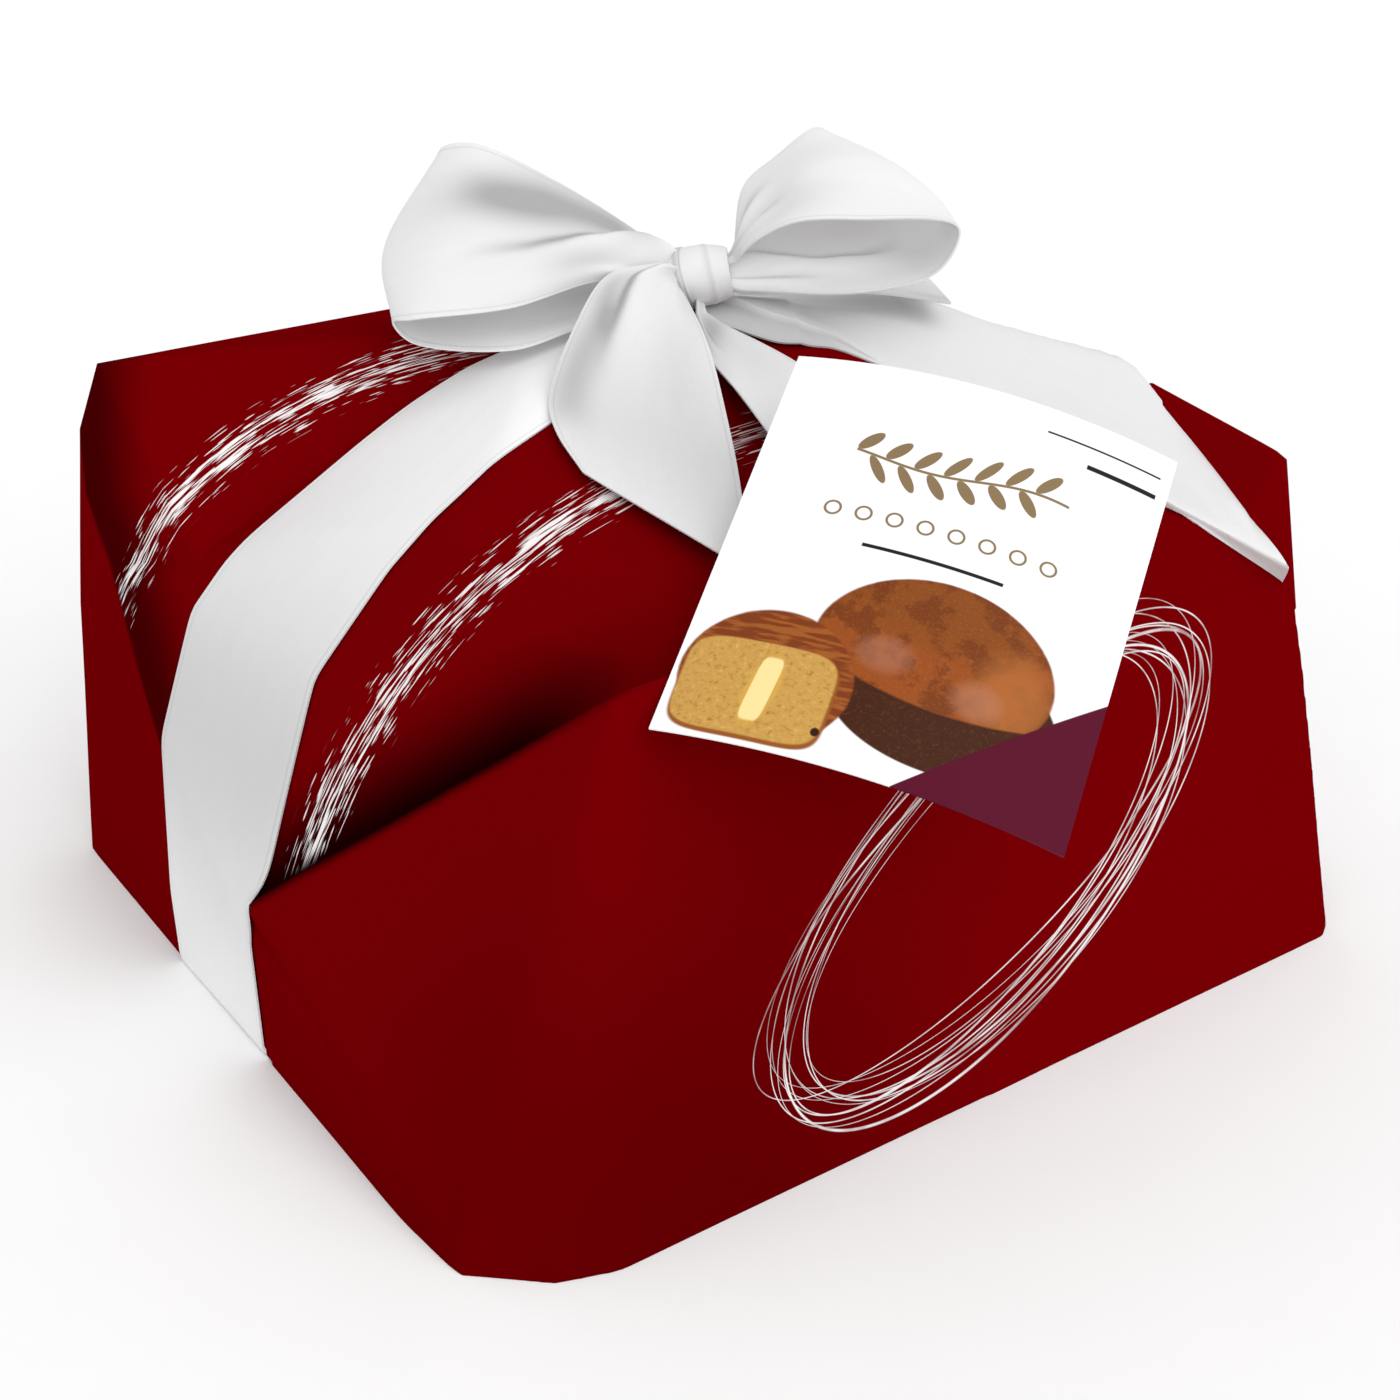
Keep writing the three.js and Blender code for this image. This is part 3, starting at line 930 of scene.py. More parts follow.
def front_block():
    """The front panel, whose upper edge stands proud of the roof."""
    return hull_block("paper_front", [corner(*p) for p in NEAR_LEFT[1:] + NEAR_RIGHT + [
        (-80, 0, 0), (80, -50, 0), *LIP, (-90, 0, 20), (-53, -53, 65), (64, -53, 70)]])


def ear_block():
    """The near ear at the right end."""
    return hull_block("paper_ear", [corner(*p) for p in [
        (99, -75.5, 53), (100, -66.5, 78), (99.6, -25, 82), (89, -68, 69.5), (90, -35, 82.5),
        (95, -72.5, 57), (102.2, -62, 38), (102.2, -26, 38), (90, -60, 36), (90, -26, 36)]])


def dent_block():
    """The soft dent that the paper makes above the fold of the front panel."""
    return hull_block("paper_dent", [corner(*p) for p in [
        (-100, -6, 29.5), (-108, -8, 34), (-78, -36, 51), (-88, -42, 56), (-56, -58, 68), (-64, -70, 78),
        (-46, -58, 75), (-45, -66, 82), (-84.5, -5.5, 62), (-92, -6, 70), (-70, -20, 75), (-74, -24, 84)]])


def crisp(block, levels):
    """Rounds a block's folds a little and divides its faces, so that its outline stays crisp."""
    only(block)
    open_edit()
    bpy.ops.mesh.dissolve_limited(angle_limit=math.radians(1))
    bpy.ops.object.mode_set(mode="OBJECT")
    round_off = block.modifiers.new("round", "BEVEL")
    round_off.width = MM
    round_off.segments = 2
    round_off.limit_method = "ANGLE"
    round_off.angle_limit = math.radians(25)
    block.modifiers.new("triangles", "TRIANGULATE")
    fine = block.modifiers.new("fine", "SUBSURF")
    fine.subdivision_type = "SIMPLE"
    fine.levels = levels
    fine.render_levels = levels
    apply_all(block)


def channel_block():
    """The shallow channel under the base that leaves room for the ribbon."""
    ring = CHANNEL_LEFT + CHANNEL_RIGHT
    return hull_block("paper_channel", [
        row((x, y, z)) for x, y in ring for z in (BELOW_FLOOR / MM - 4, CHANNEL_DEPTH)])


def looseness(point):
    """Share of the strong smoothing: none at the crisp upper edge and none at the base."""
    ends = [corner(*p) for p in LIP]
    away = 1.0
    for start, end in zip(ends, ends[1:]):
        _, share = intersect_point_line(point, start, end)
        away = min(away, (point - start.lerp(end, clamp(share))).length)
    return clamp((away - 0.006) / 0.008) * clamp((point.z - 0.006) / 0.014)


class GIFT_OT_paper(bpy.types.Operator):
    """Builds the folded paper pack."""
    bl_idname = "gift.paper"
    bl_label = "Paper pack"

    def execute(self, context):
        paper = context.scene.gift_paper
        body = hump_block()
        join_solid(body, dent_block(), "DIFFERENCE")
        soften(body, paper.voxel, 3)
        shoulder = shoulder_block()
        crisp(shoulder, 4)
        join_solid(body, shoulder, "UNION", "MANIFOLD")
        front = front_block()
        soften(front, paper.voxel, 2, looseness)
        join_solid(body, front, "UNION", "MANIFOLD")
        body.name = "gift_paper"
        BARE_PAPER["tree"] = BVHTree.FromObject(body, context.evaluated_depsgraph_get())
        ear = ear_block()
        crisp(ear, 4)
        join_solid(body, ear, "UNION", "MANIFOLD")
        waves = wave_set(3)
        normals = [vertex.normal.copy() for vertex in body.data.vertices]
        for vertex, normal in zip(body.data.vertices, normals):
            if vertex.co.z > 0:
                vertex.co += normal * wrinkle(waves, vertex.co) * PAPER_WRINKLE
        join_solid(body, channel_block(), "DIFFERENCE", "MANIFOLD")
        cut_base(body)
        smooth_shade(body, 42)
        settle(body, ["paper_pack"], paper_material())
        return {"FINISHED"}


# The ribbon round the pack

# Edges of the ribbon seen from above, from the knot to the left wall, in millimetres
NEAR_PLAN = [(26, 14), (4, 8), (-60, -3), (-140, -5)]
FAR_PLAN = [(22, 31), (-8, 33), (-50, 46), (-140, 45)]
# Edges of the ribbon from the knot to the near ear, and the line where it goes under the ear
RIGHT_LOWER = [
    (10, 12, 150), (16.5, 7.5, 147.5), (20, 2.5, 146), (24, -1.5, 144.3), (31, -3, 143.3), (38, -4.5, 142.2),
    (46.5, -14, 138), (85, -73, 112), (106, -80.5, 97), (119, -83.5, 87.5)]
RIGHT_UPPER = [(24, 34, 151), (50, 24, 150), (80, 9, 143), (97, -9, 135), (118, -24, 128), (121, -31, 123.5)]
EAR_LINE = [(119, -83.5, 87.5), (116, -79.5, 97), (112.4, -75.5, 106), (113.8, -57, 116), (121, -31, 123.5)]
# The ribbon's two edges where it leaves the left wall and where it comes up the right one
LEFT_FOOT = (-4.6, 45)
WALL_STRIP = (-75, -25)
# The ends of the run under the base, and the height up to which it follows the right wall
BASE_ENDS = (-124.5, 124)
WALL_HEIGHTS = (2, 60)
# Rows of points along the runs of the ribbon
DOWN_ROWS, UNDER_ROWS, UP_ROWS, RIGHT_ROWS = 110, 44, 18, 140
# The hem turned under by the knot: its share of the run, its share of the columns and its rise
HEM_FOLD_SHARE = 0.3
HEM_COLUMNS = 0.3
HEM_RISE = 0.0016 * Vector((0, -0.3, 0.95))
# How much further the ribbon is held off the paper beside the knot, and how far along its run
KNOT_GAP = 0.0012
KNOT_GAP_SHARE = 0.16
# The row from which the right run is smoothed across, and how far its end goes on under the ear
SOFT_FROM = 60
UNDER_EAR = 0.005
# Painted shade of the ribbon: on its right run, and on the left wall as middle height, spread and strength
RIGHT_RUN_SHADE = 0.31
WALL_SHADE = (0.07, 0.045, 0.6)


def plan_side(outline, x):
    """Side of a line seen from above, at a place along the pack."""
    for (x0, y0), (x1, y1) in zip(outline, outline[1:]):
        if min(x0, x1) <= x <= max(x0, x1):
            return y0 + (y1 - y0) * (x - x0) / (x1 - x0)
    return outline[-1][1] if abs(x - outline[-1][0]) < abs(x - outline[0][0]) else outline[0][1]


def edge_down_wall(tree, outline):
    """One edge of the ribbon, from the knot over the roof and down the left wall."""
    points = []
    centre = Vector((4, 0, 50))
    for step in range(150):
        angle = math.radians(88 + step * 0.82)
        way = Vector((math.cos(angle), 0, math.sin(angle)))
        side = plan_side(outline, centre.x)
        found = None
        for _ in range(4):
            start = row(Vector((centre.x, side, centre.z)) + way * 260)
            hit = tree.ray_cast(start, -way)[0]
            if hit is None:
                break
            found = hit
            side = plan_side(outline, hit.x / MM)
        if found is None or found.z < 0.0022:
            break
        points.append(found)
    return points


def clear_of_paper(point, tree, gap):
    """Moves a point out until it lies a gap above the paper."""
    place, normal, _, _ = tree.find_nearest(point)
    short = gap - (point - place).dot(normal)
    return point + normal * short if short > 0 else point


def rest_on_paper(rows, tree, gaps, rounds=10):
    """Draws a ribbon taut along its length, while every point stays above the paper."""
    for _ in range(rounds):
        taut = [rows[0]]
        for before, line, after in zip(rows, rows[1:], rows[2:]):
            taut.append([p.lerp((a + b) / 2, 0.5) for p, a, b in zip(line, before, after)])
        taut.append(rows[-1])
        rows = [[clear_of_paper(p, tree, gap) for p in line] for line, gap in zip(taut, gaps)]
    return rows


def under_rows(ribbon, columns):
    """The ribbon under the base, from the left wall to the right one."""
    lift = Vector((0, 0, 0.0002 + ribbon.thickness))
    near, far = [
        lerp_row(row((BASE_ENDS[0], foot, 0)), row((BASE_ENDS[1], wall, 0)), UNDER_ROWS)
        for foot, wall in zip(LEFT_FOOT, WALL_STRIP)]
    return [lerp_row(a + lift, b + lift, columns) for a, b in zip(near, far)]


def up_right_wall(tree, columns):
    """The ribbon from the floor up the right wall, to its place under the near ear."""
    rows = []
    for i in range(UP_ROWS):
        height = WALL_HEIGHTS[0] + (WALL_HEIGHTS[1] - WALL_HEIGHTS[0]) * i / (UP_ROWS - 1)
        gathered = clamp((height - 32) / 24)
        low, high = WALL_STRIP[0] + 5 * gathered, WALL_STRIP[1] - 6 * gathered
        line = []
        for j in range(columns):
            side = low + (high - low) * j / (columns - 1)
            line.append(tree.ray_cast(row((200, side, height)), Vector((-1, 0, 0)))[0])
        rows.append(line)
    return rows


def left_strip(tree, ribbon, columns):
    """From the knot over the roof, down the left wall, under the base and up the right wall."""
    near, far = edge_down_wall(tree, NEAR_PLAN), edge_down_wall(tree, FAR_PLAN)
    edges = zip(even_points(near, DOWN_ROWS), even_points(far, DOWN_ROWS))
    down = [lerp_row(a, b, columns) for a, b in edges]
    down = rest_on_paper(down, tree, [ribbon.gap] * len(down))
    up = up_right_wall(tree, columns)
    up = rest_on_paper(up, tree, [ribbon.gap] * len(up), 4)
    rows = down + under_rows(ribbon, columns) + up
    middle, spread, strength = WALL_SHADE
    # Painted shade, darkest on the left wall at its middle height
    shades = [[strength * bell(p.z - middle, spread) for p in line] for line in rows]
    return ribbon_grid("ribbon_left", rows, shades)


def hem_share(s):
    """Where the turned hem lies across the right run of the ribbon."""
    return max(0.45 * (1 - s / HEM_FOLD_SHARE), 0.04)


def right_strip(tree, ribbon, columns):
    """From the knot over the roof to the near ear, with its near edge turned under by the knot."""
    low_line, high_line, end_line = [
        even_points([row(p) for p in line], count)
        for line, count in ((RIGHT_LOWER, RIGHT_ROWS), (RIGHT_UPPER, RIGHT_ROWS), (EAR_LINE, columns))]
    hem_column = round(HEM_COLUMNS * (columns - 1))
    rows, gaps, lifts, shades = [], [], [], []
    for i in range(RIGHT_ROWS):
        s = i / (RIGHT_ROWS - 1)
        hem = hem_share(s)
        left = clamp((HEM_FOLD_SHARE - s) / 0.12)
        line, lift, shade = [], [], []
        for j in range(columns):
            if j < hem_column:
                t = hem * j / hem_column
            else:
                t = hem + (1 - hem) * (j - hem_column) / (columns - 1 - hem_column)
            place = low_line[i].lerp(high_line[i], t)
            bend = end_line[j] - low_line[-1].lerp(high_line[-1], j / (columns - 1))
            line.append(place + bend * s ** 3)
            beyond = (t - hem) * 45
            raised = j >= hem_column
            lift.append(left * math.exp(-beyond / 12) if raised else 0.0)
            # Painted shade: over the whole right run, grey on the part below the turned hem and a thin line
            # just past it
            shade.append(RIGHT_RUN_SHADE + left * (0.12 * bell(beyond - 7, 3) if raised else 0.34))
        rows.append(line)
        lifts.append(lift)
        shades.append(shade)
        gaps.append(ribbon.gap + (KNOT_GAP if s < KNOT_GAP_SHARE else 0.0))
    rows = rest_on_paper(rows, tree, gaps)
    for line, lift in zip(rows, lifts):
        for j, share in enumerate(lift):
            line[j] = line[j] + HEM_RISE * share
    for _ in range(6):
        for i, line in enumerate(rows[SOFT_FROM:], SOFT_FROM):
            soft = [p.lerp((a + b) / 2, 0.5) for a, p, b in zip(line, line[1:], line[2:])]
            rows[i] = [line[0]] + [clear_of_paper(p, tree, ribbon.gap) for p in soft] + [line[-1]]
    past = [
        p + (p - q).normalized() * UNDER_EAR * j / (columns - 1)
        for j, (p, q) in enumerate(zip(rows[-1], rows[-3]))]
    return ribbon_grid("ribbon_right", rows + [past], shades + [shades[-1]])


class GIFT_OT_band(bpy.types.Operator):
    """Builds the ribbon round the pack."""
    bl_idname = "gift.band"
    bl_label = "Ribbon round the pack"

    def execute(self, context):
        ribbon = context.scene.gift_ribbon
        if "tree" not in BARE_PAPER:
            raise RuntimeError("The paper is built before the ribbon round it")
        tree = BARE_PAPER["tree"]
        left = left_strip(tree, ribbon, 25)
        right = right_strip(tree, ribbon, 33)
        for strip in (left, right):
            thicken(strip, ribbon.thickness, 1.0, 0)
        only(left)
        right.select_set(True)
        bpy.ops.object.join()
        left.name = "ribbon_round_pack"
        settle(left, ["ribbon_band"], satin_material("satin_band", ribbon.width, 0.3, 0.05, 0.0))
        return {"FINISHED"}


# The bow

LEFT_LOOP = [
    [(-8.3, -3, 4.3), (-18.5, -1, 11), (-36.4, 0, 22), (-53.7, 2, 29.6), (-62.3, 6, 27.4), (-60.7, 13, 19.9),
     (-44.8, 15, 10), (-22.6, 8, 3), (-8.3, 0, 0.9)],
    [(-8.2, -7, 1.8), (-23.1, -12, 8.8), (-39, -15, 13), (-58.9, -13, 13.9), (-76, -5, 5.8), (-66.5, 1, -1),
     (-43.2, 0, -5), (-22, 0, -4), (-8.3, -2, -3)],
    [(-8.2, -9, -1.8), (-23.7, -16, 1.7), (-44.2, -27, -1.5), (-67.5, -27, -4), (-73, -21, -7),
     (-69, -18, -13), (-44.6, -24.6, -12.8), (-30.4, -20.5, -9.2), (-8.3, -7, -5.2)],
]
RIGHT_LOOP = [
    [(7.8, 1, 4.1), (10.1, 10, 17.3), (17.6, 15, 23), (27.9, 20, 29.1), (32, 23, 25),
     (32, 22, 17), (22, 16, 11), (8.4, 5, 3)],
    [(8, -2, 3), (14.9, -1, 15.1), (25.4, 0, 24.4), (42.2, 4, 24.3), (57, 2, 15),
     (52.5, 4, 5), (32.9, 1, 1.2), (8.4, -3, -1.5)],
    [(8, -5, 3.2), (12.8, -11, 10), (21.5, -14, 14.9), (36.6, -14, 15.6), (60.5, -10, 12.8),
     (56.5, -9, 2), (39.7, -11, -2.7), (8.4, -8, -3)],
]
FRONT_TAIL = [
    [(-10.1, -10, 4.4), (-22.1, -17, 3.3), (-29.4, -29.3, -5), (-34.9, -41.8, -17.5), (-33, -53, -21.5),
     (-26.4, -65.7, -26.5)],
    [(-5.8, -11, -0.9), (-3.2, -17, -3.5), (1.5, -32, -9), (5.9, -53, -20), (8.4, -71, -28), (10, -96, -37)],
]
SIDE_TAIL = [
    [(0.8, -10.5, -7.7), (6.5, -15, -10), (13.3, -19.5, -12), (22.4, -25, -15.4), (34.8, -37.5, -20.7)],
    [(-1.6, -13, -7.7), (1.4, -27, -13), (7.9, -40.5, -16.6), (12.9, -51.5, -19.6), (21.4, -68, -26)],
]
BACK_TAIL = [
    [(9.5, 4, -6.2), (25, 12, -6), (42, 24, -9), (58.3, 30.2, -12)],
    [(9.5, -1, -6.2), (25, 1, -6.4), (44, 8, -9), (61.9, 9.3, -12)],
]
# Folds: height in millimetres, widths before and after the crest, and the crest's places along
# and across the strip. The crest fades out towards its last place.
# Painted shading of the satin: place along and across, spread along and across, and strength. A strength
# above nothing paints shade, and one below nothing paints the satin lighter where it is below nothing
LEFT_FOLDS = [
    (3.2, 0.045, 0.28, [
        (0.02, 0.06), (0.075, 0.175), (0.108, 0.325), (0.135, 0.46), (0.167, 0.525), (0.2, 0.60),
        (0.25, 0.66), (0.37, 0.74)]),
    (0.8, 0.08, 0.08, [(0.0, 0.85), (0.22, 0.88)]),
    (1.7, 0.10, 0.16, [(0.97, 0.58), (0.87, 0.64), (0.80, 0.70), (0.72, 0.76)]),
]
LEFT_PAINTED_SHADING = [
    (0.33, 0.30, 0.07, 0.14, 0.58), (0.24, 0.24, 0.08, 0.22, 0.70), (0.13, 0.14, 0.07, 0.2, 0.66),
    (0.17, 0.72, 0.07, 0.12, 0.22),
    (0.75, 0.50, 0.25, 0.80, -0.27),
    (0.44, 0.30, 0.05, 0.40, 0.10), (0.02, 0.9, 0.04, 0.3, 0.3), (0.17, 0.97, 0.09, 0.07, 0.22),
]
RIGHT_FOLDS = [
    (-1.3, 0.06, 0.09, [(0.0, 0.30), (0.22, 0.34)]),
    (-1.3, 0.06, 0.09, [(0.0, 0.68), (0.26, 0.76)]),
    (2.8, 0.045, 0.26, [
        (0.985, 0.24), (0.967, 0.28), (0.933, 0.40), (0.883, 0.53), (0.817, 0.55), (0.767, 0.51),
        (0.72, 0.43)]),
    (1.0, 0.05, 0.10, [(1.0, 0.72), (0.88, 0.80)]),
]
RIGHT_PAINTED_SHADING = [
    (0.275, 0.8, 0.10, 0.16, 0.18), (0.03, 0.5, 0.03, 0.6, 0.2), (0.73, 0.60, 0.06, 0.30, 0.16),
    (0.80, 0.30, 0.25, 0.60, -0.40), (0.85, 0.85, 0.08, 0.14, 0.18),
]
FRONT_FOLDS = [
    (2.4, 0.045, 0.26, [
        (0.02, 0.20), (0.083, 0.27), (0.217, 0.35), (0.308, 0.355), (0.36, 0.34), (0.43, 0.32),
        (0.56, 0.30)]),
    (0.6, 0.12, 0.12, [(0.0, 0.8), (0.5, 0.78)]),
]
FRONT_PAINTED_SHADING = [
    (0.46, 0.13, 0.14, 0.13, 0.42), (0.25, 0.14, 0.12, 0.12, 0.46), (0.36, 0.21, 0.07, 0.07, 0.40),
    (0.62, 0.10, 0.12, 0.12, 0.26), (0.03, 0.9, 0.05, 0.3, 0.25), (0.75, 0.9, 0.25, 0.35, 0.14),
    (0.45, 0.75, 0.16, 0.16, 0.10), (0.70, 0.50, 0.30, 0.60, 0.17),
]
SIDE_FOLDS = [(-1.1, 0.08, 0.12, [(0.0, 0.9), (0.07, 0.875), (0.17, 0.8), (0.36, 0.7)])]
SIDE_PAINTED_SHADING = [(0.14, 0.45, 0.14, 0.5, 0.62), (0.5, 0.3, 0.25, 0.4, 0.14)]
BACK_PAINTED_SHADING = [(0.85, 0.6, 0.4, 1.0, 0.28), (0.95, 0.85, 0.14, 0.14, 0.25)]
# Painted shade laid evenly over all the bow's loops, tails and knot
BOW_SHADE = 0.27
# In metres: how uneven the loops and tails are, how uneven the knot is, and how deep its creases are
BOW_WRINKLE = 0.0008
KNOT_WRINKLE = 0.00035
KNOT_CREASE = 0.0007
KNOT_PLACE = (-0.7, -4, -0.8)
KNOT_LIFT = math.radians(9)
# In millimetres: the knot's length and that of the disc it is drawn out from, in this many steps
KNOT_LENGTH = 15.0
KNOT_START = 0.5
KNOT_STEPS = 40


def bow_point(point):
    """A point of the bow in its own millimetres, as metres in the frame."""
    turned = Matrix.Rotation(BOW_TURN, 3, "Z") @ Vector(point)
    return row(turned + KNOT_CENTRE)


def bow_rows(columns, along, across_count):
    """Rows of points over the columns of a loop or tail."""
    lines = [[bow_point(p) for p in column] for column in columns]
    rows = []
    for i in range(along):
        ribs = [blend_points(line, i / (along - 1)) for line in lines]
        rows.append([blend_points(ribs, j / (across_count - 1)) for j in range(across_count)])
    return rows


def crest_at(line, s):
    """Where a fold's crest lies across the strip at a place along it, and how much of it is left."""
    run = [abs(place - line[0][0]) for place, _ in line]
    ahead = (s - line[0][0]) * math.copysign(1, line[-1][0] - line[0][0])
    if ahead >= run[-1]:
        return line[-1][1], 0.0
    ahead = max(ahead, 0.0)
    left = min(1.0, 1.6 * (1 - ahead / run[-1]))
    for i in range(len(run) - 1):
        if ahead <= run[i + 1]:
            share = (ahead - run[i]) / (run[i + 1] - run[i])
            return line[i][1] + (line[i + 1][1] - line[i][1]) * share, left * left * (3 - 2 * left)


def fold_at(folds, s, t):
    """How far the folds lift one point, in metres, and how much painted shade they lay on it."""
    lift, shade = 0.0, 0.0
    for height, before, after, line in folds:
        crest, left = crest_at(line, s)
        off = t - crest
        lift += height * MM * left * bell(off, before if off < 0 else after)
        steep, side = (before, -1) if before < after else (after, 1)
        # Painted shade at the foot of each fold's steep side
        shade += min(abs(height) * 0.27, 0.85) * left * bell(off - side * 1.4 * steep, steep)
    return lift, shade


def dress_rows(rows, folds, painted_shading, seed):
    """Lifts the rows of a ribbon by its folds, and gives each point its painted shade."""
    knot = row(KNOT_CENTRE)
    last, edge = len(rows) - 1, len(rows[0]) - 1
    waves = wave_set(seed)
    made, shades = [], []
    for i, line in enumerate(rows):
        before, after = rows[max(i - 1, 0)], rows[min(i + 1, last)]
        s = i / last
        new_line, shade_line = [], []
        for j, point in enumerate(line):
            t = j / edge
            side = line[min(j + 1, edge)] - line[max(j - 1, 0)]
            normal = (after[j] - before[j]).cross(side).normalized()
            far = (point - knot).length
            lift, shade = fold_at(folds, s, t)
            slow = wrinkle(waves, point * 0.6) * BOW_WRINKLE * clamp((far - 0.012) / 0.02)
            # Painted shade laid evenly over the bow, then the painted shading, darker or lighter by place
            shade += BOW_SHADE
            for s0, t0, rs, rt, strength in painted_shading:
                shade += strength * bell(s - s0, rs) * bell(t - t0, rt)
            new_line.append(point + normal * (lift + slow))
            shade_line.append(clamp(shade))
        made.append(new_line)
        shades.append(shade_line)
    return made, shades


def tuck_into_knot(rows, shades, looped):
    """Leads the ends of a strip on into the knot."""
    inside = bow_point(KNOT_PLACE)
    rows = [[p.lerp(inside, 0.5) for p in rows[0]]] + rows
    # The rows led into the knot get a painted shade
    shades = [[0.5] * len(rows[0])] + shades
    if looped:
        rows.append([p.lerp(inside, 0.5) for p in rows[-1]])
        shades.append([0.5] * len(rows[0]))
    return rows, shades


def bow_strip(name, node, columns, counts, folds, painted_shading, cut, looped=False, grain=0.1):
    """One loop or tail of the bow, in satin. cut is its length, and its area without hidden pleats, which is
    not used.
    """
    ribbon = bpy.context.scene.gift_ribbon
    rows, shades = dress_rows(bow_rows(columns, *counts), folds, painted_shading, len(name))
    rows, shades = tuck_into_knot(rows, shades, looped)
    strip = ribbon_grid(name, rows, shades)
    thicken(strip, ribbon.thickness, 0.0, 1)
    length, area = cut
    settle(strip, [node], satin_material("satin_" + name, ribbon.width, length, grain))
    return strip


def knot_radius(share):
    """Radius of the knot along its length, in millimetres: a rounded barrel."""
    return 5.7 + 1.5 * math.sin(math.pi * min(max(share, 0.001), 0.999)) ** 0.6


def knot_crease(share, angle):
    """Depth of the two creases that run aslant round the knot, from 0 to 1."""
    first = bell(share - 0.30 - 0.10 * math.cos(angle - 0.6), 0.035)
    second = bell(share - 0.66 - 0.06 * math.cos(angle + 1.2), 0.05)
    return first + 0.4 * second


class GIFT_OT_knot(bpy.types.Operator):
    """Builds the knot of the bow."""
    bl_idname = "gift.knot"
    bl_label = "Knot"

    def execute(self, context):
        bpy.ops.object.select_all(action="DESELECT")
        bpy.ops.mesh.primitive_cylinder_add(
            vertices=72, radius=knot_radius(0) * MM, depth=KNOT_START * MM, end_fill_type="NGON")
        knot = bpy.context.object
        knot.name = "gift_knot"
        for face in knot.data.polygons:
            face.select = face.normal.z > 0.9
        bpy.ops.object.mode_set(mode="EDIT")
        step = (KNOT_LENGTH - KNOT_START) / KNOT_STEPS * MM
        for i in range(KNOT_STEPS):
            size = knot_radius((i + 1) / KNOT_STEPS) / knot_radius(i / KNOT_STEPS)
            bpy.ops.mesh.extrude_region_move(TRANSFORM_OT_translate={"value": (0, 0, step)})
            bpy.ops.transform.resize(value=(size, size, 1))
        bpy.ops.object.mode_set(mode="OBJECT")
        turn = Matrix.Rotation(BOW_TURN, 4, "Z") @ Matrix.Rotation(math.pi / 2 - KNOT_LIFT, 4, "Y")
        centre = bow_point(KNOT_PLACE)
        middle = Matrix.Translation((0, 0, (KNOT_START - KNOT_LENGTH) / 2 * MM))
        knot.data.transform(Matrix.Translation(centre) @ turn @ middle)
        waves = wave_set(31)
        layer = knot.data.attributes.new("shade", "FLOAT", "POINT")
        shades = []
        back = turn.to_3x3().transposed()
        normals = [vertex.normal.copy() for vertex in knot.data.vertices]
        for vertex, normal in zip(knot.data.vertices, normals):
            place = back @ (vertex.co - centre)
            crease = knot_crease(place.z / (KNOT_LENGTH * MM) + 0.5, math.atan2(place.y, place.x))
            low = clamp((centre.z - vertex.co.z) / 0.007)
            # Painted shade: even over the knot, darker in its creases and towards its underside
            shades.append(min(BOW_SHADE + 0.45 * crease + 0.08 * low, 1))
            vertex.co += normal * (wrinkle(waves, vertex.co * 3) * KNOT_WRINKLE - crease * KNOT_CREASE)
        layer.data.foreach_set("value", shades)
        smooth_shade(knot, 60)
        settle(knot, ["bow_knot"], satin_material("satin_knot", 0.015, 0.05, 0.1, 0.0))
        return {"FINISHED"}


class GIFT_OT_loops(bpy.types.Operator):
    """Builds the two loops of the bow."""
    bl_idname = "gift.loops"
    bl_label = "Bow loops"

    def execute(self, context):
        bow_strip(
            "loop_left", "bow_loop_left", LEFT_LOOP, (110, 41), LEFT_FOLDS, LEFT_PAINTED_SHADING,
            (0.15, 0.0056), looped=True)
        bow_strip(
            "loop_right", "bow_loop_right", RIGHT_LOOP, (90, 41), RIGHT_FOLDS, RIGHT_PAINTED_SHADING,
            (0.12, 0.0038), looped=True)
        return {"FINISHED"}


class GIFT_OT_tails(bpy.types.Operator):
    """Builds the three tails of the bow."""
    bl_idname = "gift.tails"
    bl_label = "Ribbon tails"

    def execute(self, context):
        bow_strip(
            "tail_front", "ribbon_tail_front", FRONT_TAIL, (70, 41), FRONT_FOLDS, FRONT_PAINTED_SHADING,
            (0.09, 0.0029), grain=0.8)
        bow_strip(
            "tail_side", "ribbon_tail_side", SIDE_TAIL, (50, 29), SIDE_FOLDS, SIDE_PAINTED_SHADING,
            (0.056, 0.0011), grain=0.5)
        bow_strip(
            "tail_back", "ribbon_tail_back", BACK_TAIL, (40, 21), [], BACK_PAINTED_SHADING,
            (0.056, 0.00085))
        return {"FINISHED"}


# The card

# Faces along each side, and the card's lift off the face of the plain card, in metres
CARD_FACES = 32
CARD_LIFT = 0.0002


class GIFT_OT_card(bpy.types.Operator):
    """Builds the printed card."""
    bl_idname = "gift.card"
    bl_label = "Printed card"

    def execute(self, context):
        card = context.scene.gift_card
        shares = [i / CARD_FACES - 0.5 for i in range(CARD_FACES + 1)]
        rows = []
        for up in shares:
            middle = row(CARD_CENTRE) + CARD_UP * (card.height * up)
            rises = [card.arch * (1 - (2 * side) ** 2) + CARD_LIFT for side in shares]
            rows.append([
                middle + CARD_RIGHT * (card.width * side) + CARD_OUT * rise
                for side, rise in zip(shares, rises)])
        tag = ribbon_grid("gift_card", rows)
        thicken(tag, card.thickness, 1.0, 0)
        settle(tag, ["card_tag"], card_material())
        return {"FINISHED"}


# Floor, lights and camera

CAMERA_PLACE = Vector((-0.2832, -0.3861, 0.3146))
CAMERA_FORWARD = Vector((0.511, 0.722, -0.466)).normalized()
CAMERA_RIGHT = Vector((0.816, -0.578, 0.0)).normalized()
# Width of the camera's sensor in millimetres, and the focal length in such widths
SENSOR = 36
FOCAL_SHARE = 2200 / 1400
# Places that the key light and the fill light shine from, and how wide each light is
KEY_PLACE = (0.25, -1.1, 1.3)
FILL_PLACE = (-0.7, -1.0, 0.45)
LIGHT_ANGLE = 1.2


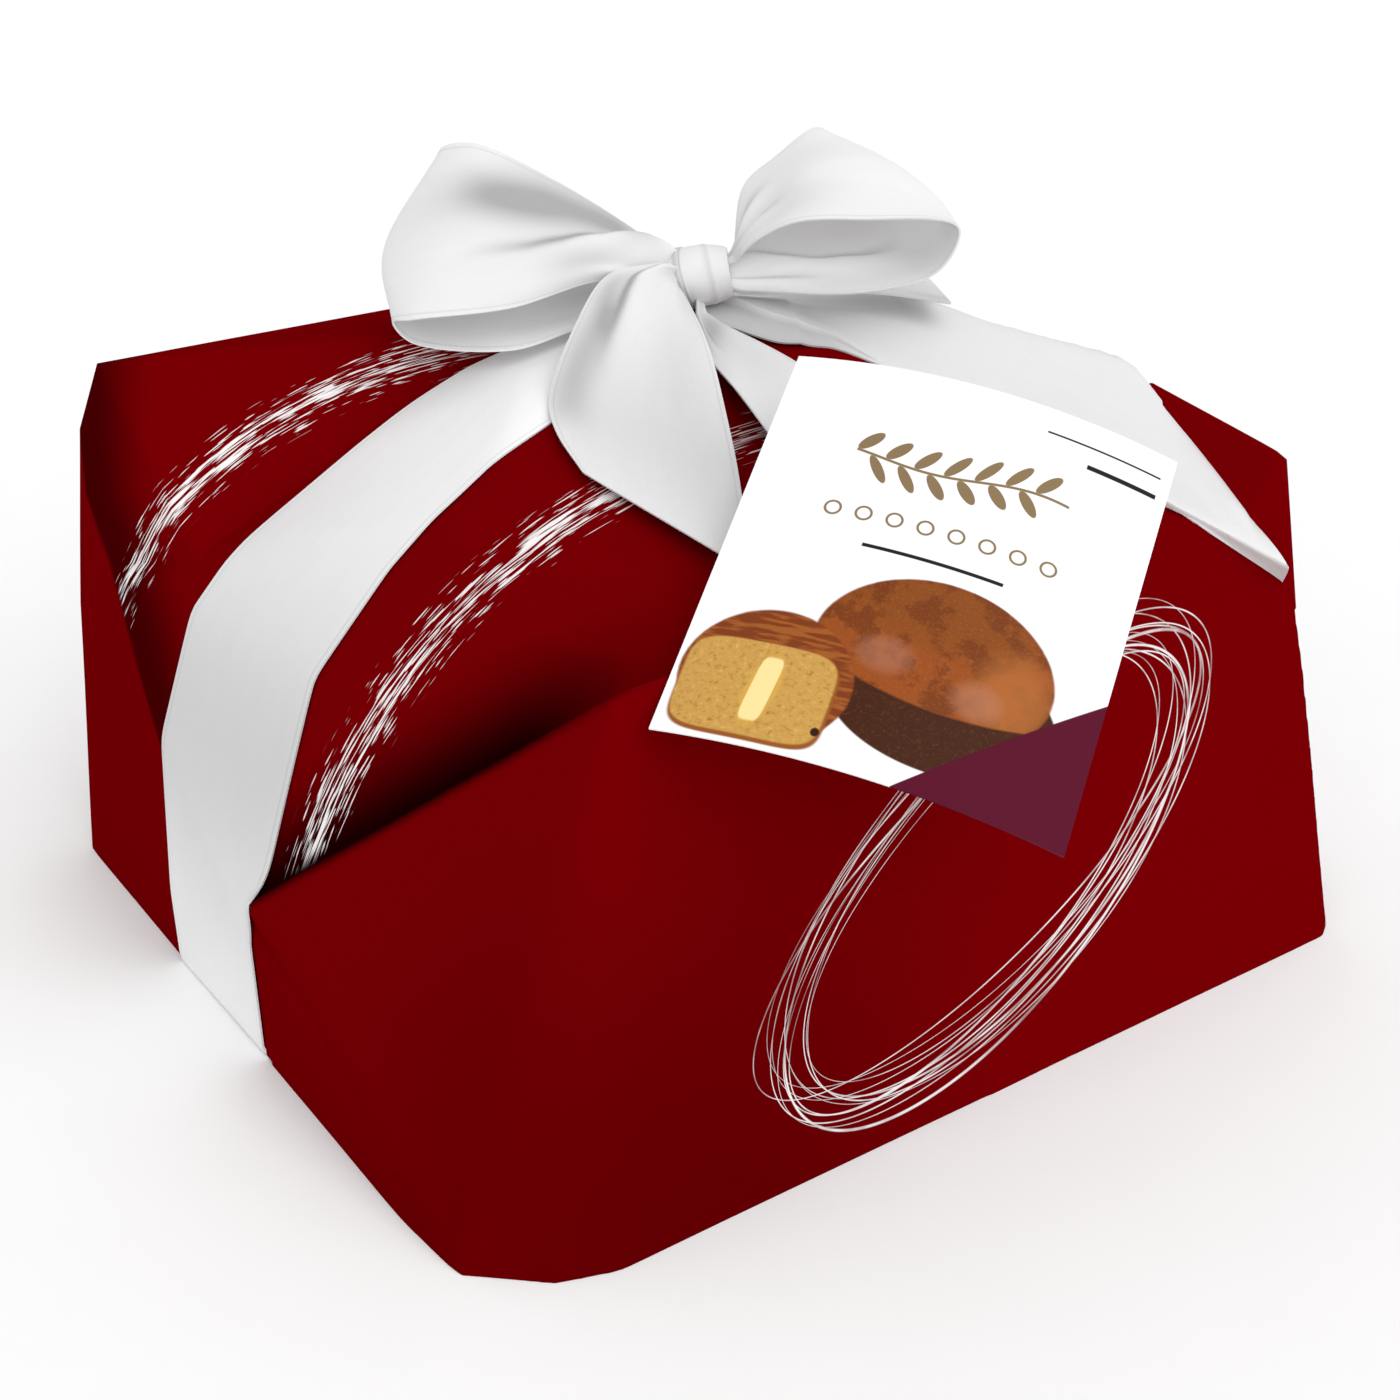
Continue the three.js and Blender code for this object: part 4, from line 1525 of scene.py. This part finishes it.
class GIFT_OT_stage(bpy.types.Operator):
    """Builds the floor, the lights and the camera."""
    bl_idname = "gift.stage"
    bl_label = "Stage"

    def execute(self, context):
        stage = context.scene.gift_stage
        bpy.ops.object.select_all(action="DESELECT")
        bpy.ops.mesh.primitive_plane_add(size=stage.floor_size, location=(0, 0, 0))
        floor = bpy.context.object
        floor.name = "floor"
        floor.data.materials.append(floor_material())
        world = bpy.data.worlds.new("studio")
        world.use_nodes = True
        back = world.node_tree.nodes["Background"]
        back.inputs["Color"].default_value = (1, 1, 1, 1)
        back.inputs["Strength"].default_value = stage.ambient
        context.scene.world = world
        for name, strength, place in (("key", stage.key, KEY_PLACE), ("fill", stage.fill, FILL_PLACE)):
            bpy.ops.object.light_add(type="SUN", location=place)
            light = bpy.context.object
            light.name = name
            light.data.energy = strength
            light.data.angle = LIGHT_ANGLE
            light.rotation_euler = (-Vector(place)).to_track_quat("-Z", "Y").to_euler()
        camera_data = bpy.data.cameras.new("camera")
        camera_data.sensor_width = SENSOR
        camera_data.lens = FOCAL_SHARE * SENSOR
        camera = bpy.data.objects.new("camera", camera_data)
        context.scene.collection.objects.link(camera)
        up = CAMERA_RIGHT.cross(CAMERA_FORWARD)
        turn = Matrix((CAMERA_RIGHT, up, -CAMERA_FORWARD)).transposed().to_4x4()
        camera.matrix_world = Matrix.Translation(CAMERA_PLACE) @ turn
        context.scene.camera = camera
        context.scene.view_settings.view_transform = "Standard"
        return {"FINISHED"}


class GIFT_PT_panel(bpy.types.Panel):
    """Lists the pieces of the gift in the sidebar."""
    bl_idname = "GIFT_PT_panel"
    bl_label = "Gift pack"
    bl_space_type = "VIEW_3D"
    bl_region_type = "UI"
    bl_category = "Gift"

    def draw(self, context):
        for operator in OPERATORS:
            self.layout.operator(operator.bl_idname)
        for settings in SETTINGS:
            group = getattr(context.scene, settings)
            for name in group.bl_rna.properties.keys():
                if name not in ("rna_type", "name"):
                    self.layout.prop(group, name)


OPERATORS = (
    GIFT_OT_stage, GIFT_OT_paper, GIFT_OT_band, GIFT_OT_knot, GIFT_OT_loops, GIFT_OT_tails, GIFT_OT_card)
SETTINGS = {
    "gift_paper": PaperSettings,
    "gift_ribbon": RibbonSettings,
    "gift_card": CardSettings,
    "gift_stage": StageSettings,
}


def register():
    for name, settings in SETTINGS.items():
        bpy.utils.register_class(settings)
        setattr(bpy.types.Scene, name, bpy.props.PointerProperty(type=settings))
    for operator in OPERATORS:
        bpy.utils.register_class(operator)
    bpy.utils.register_class(GIFT_PT_panel)


def unregister():
    bpy.utils.unregister_class(GIFT_PT_panel)
    for operator in reversed(OPERATORS):
        bpy.utils.unregister_class(operator)
    for name, settings in SETTINGS.items():
        delattr(bpy.types.Scene, name)
        bpy.utils.unregister_class(settings)


def main():
    register()
    for operator in OPERATORS:
        group, name = operator.bl_idname.split(".")
        getattr(getattr(bpy.ops, group), name)()


if __name__ == "__main__":
    main()
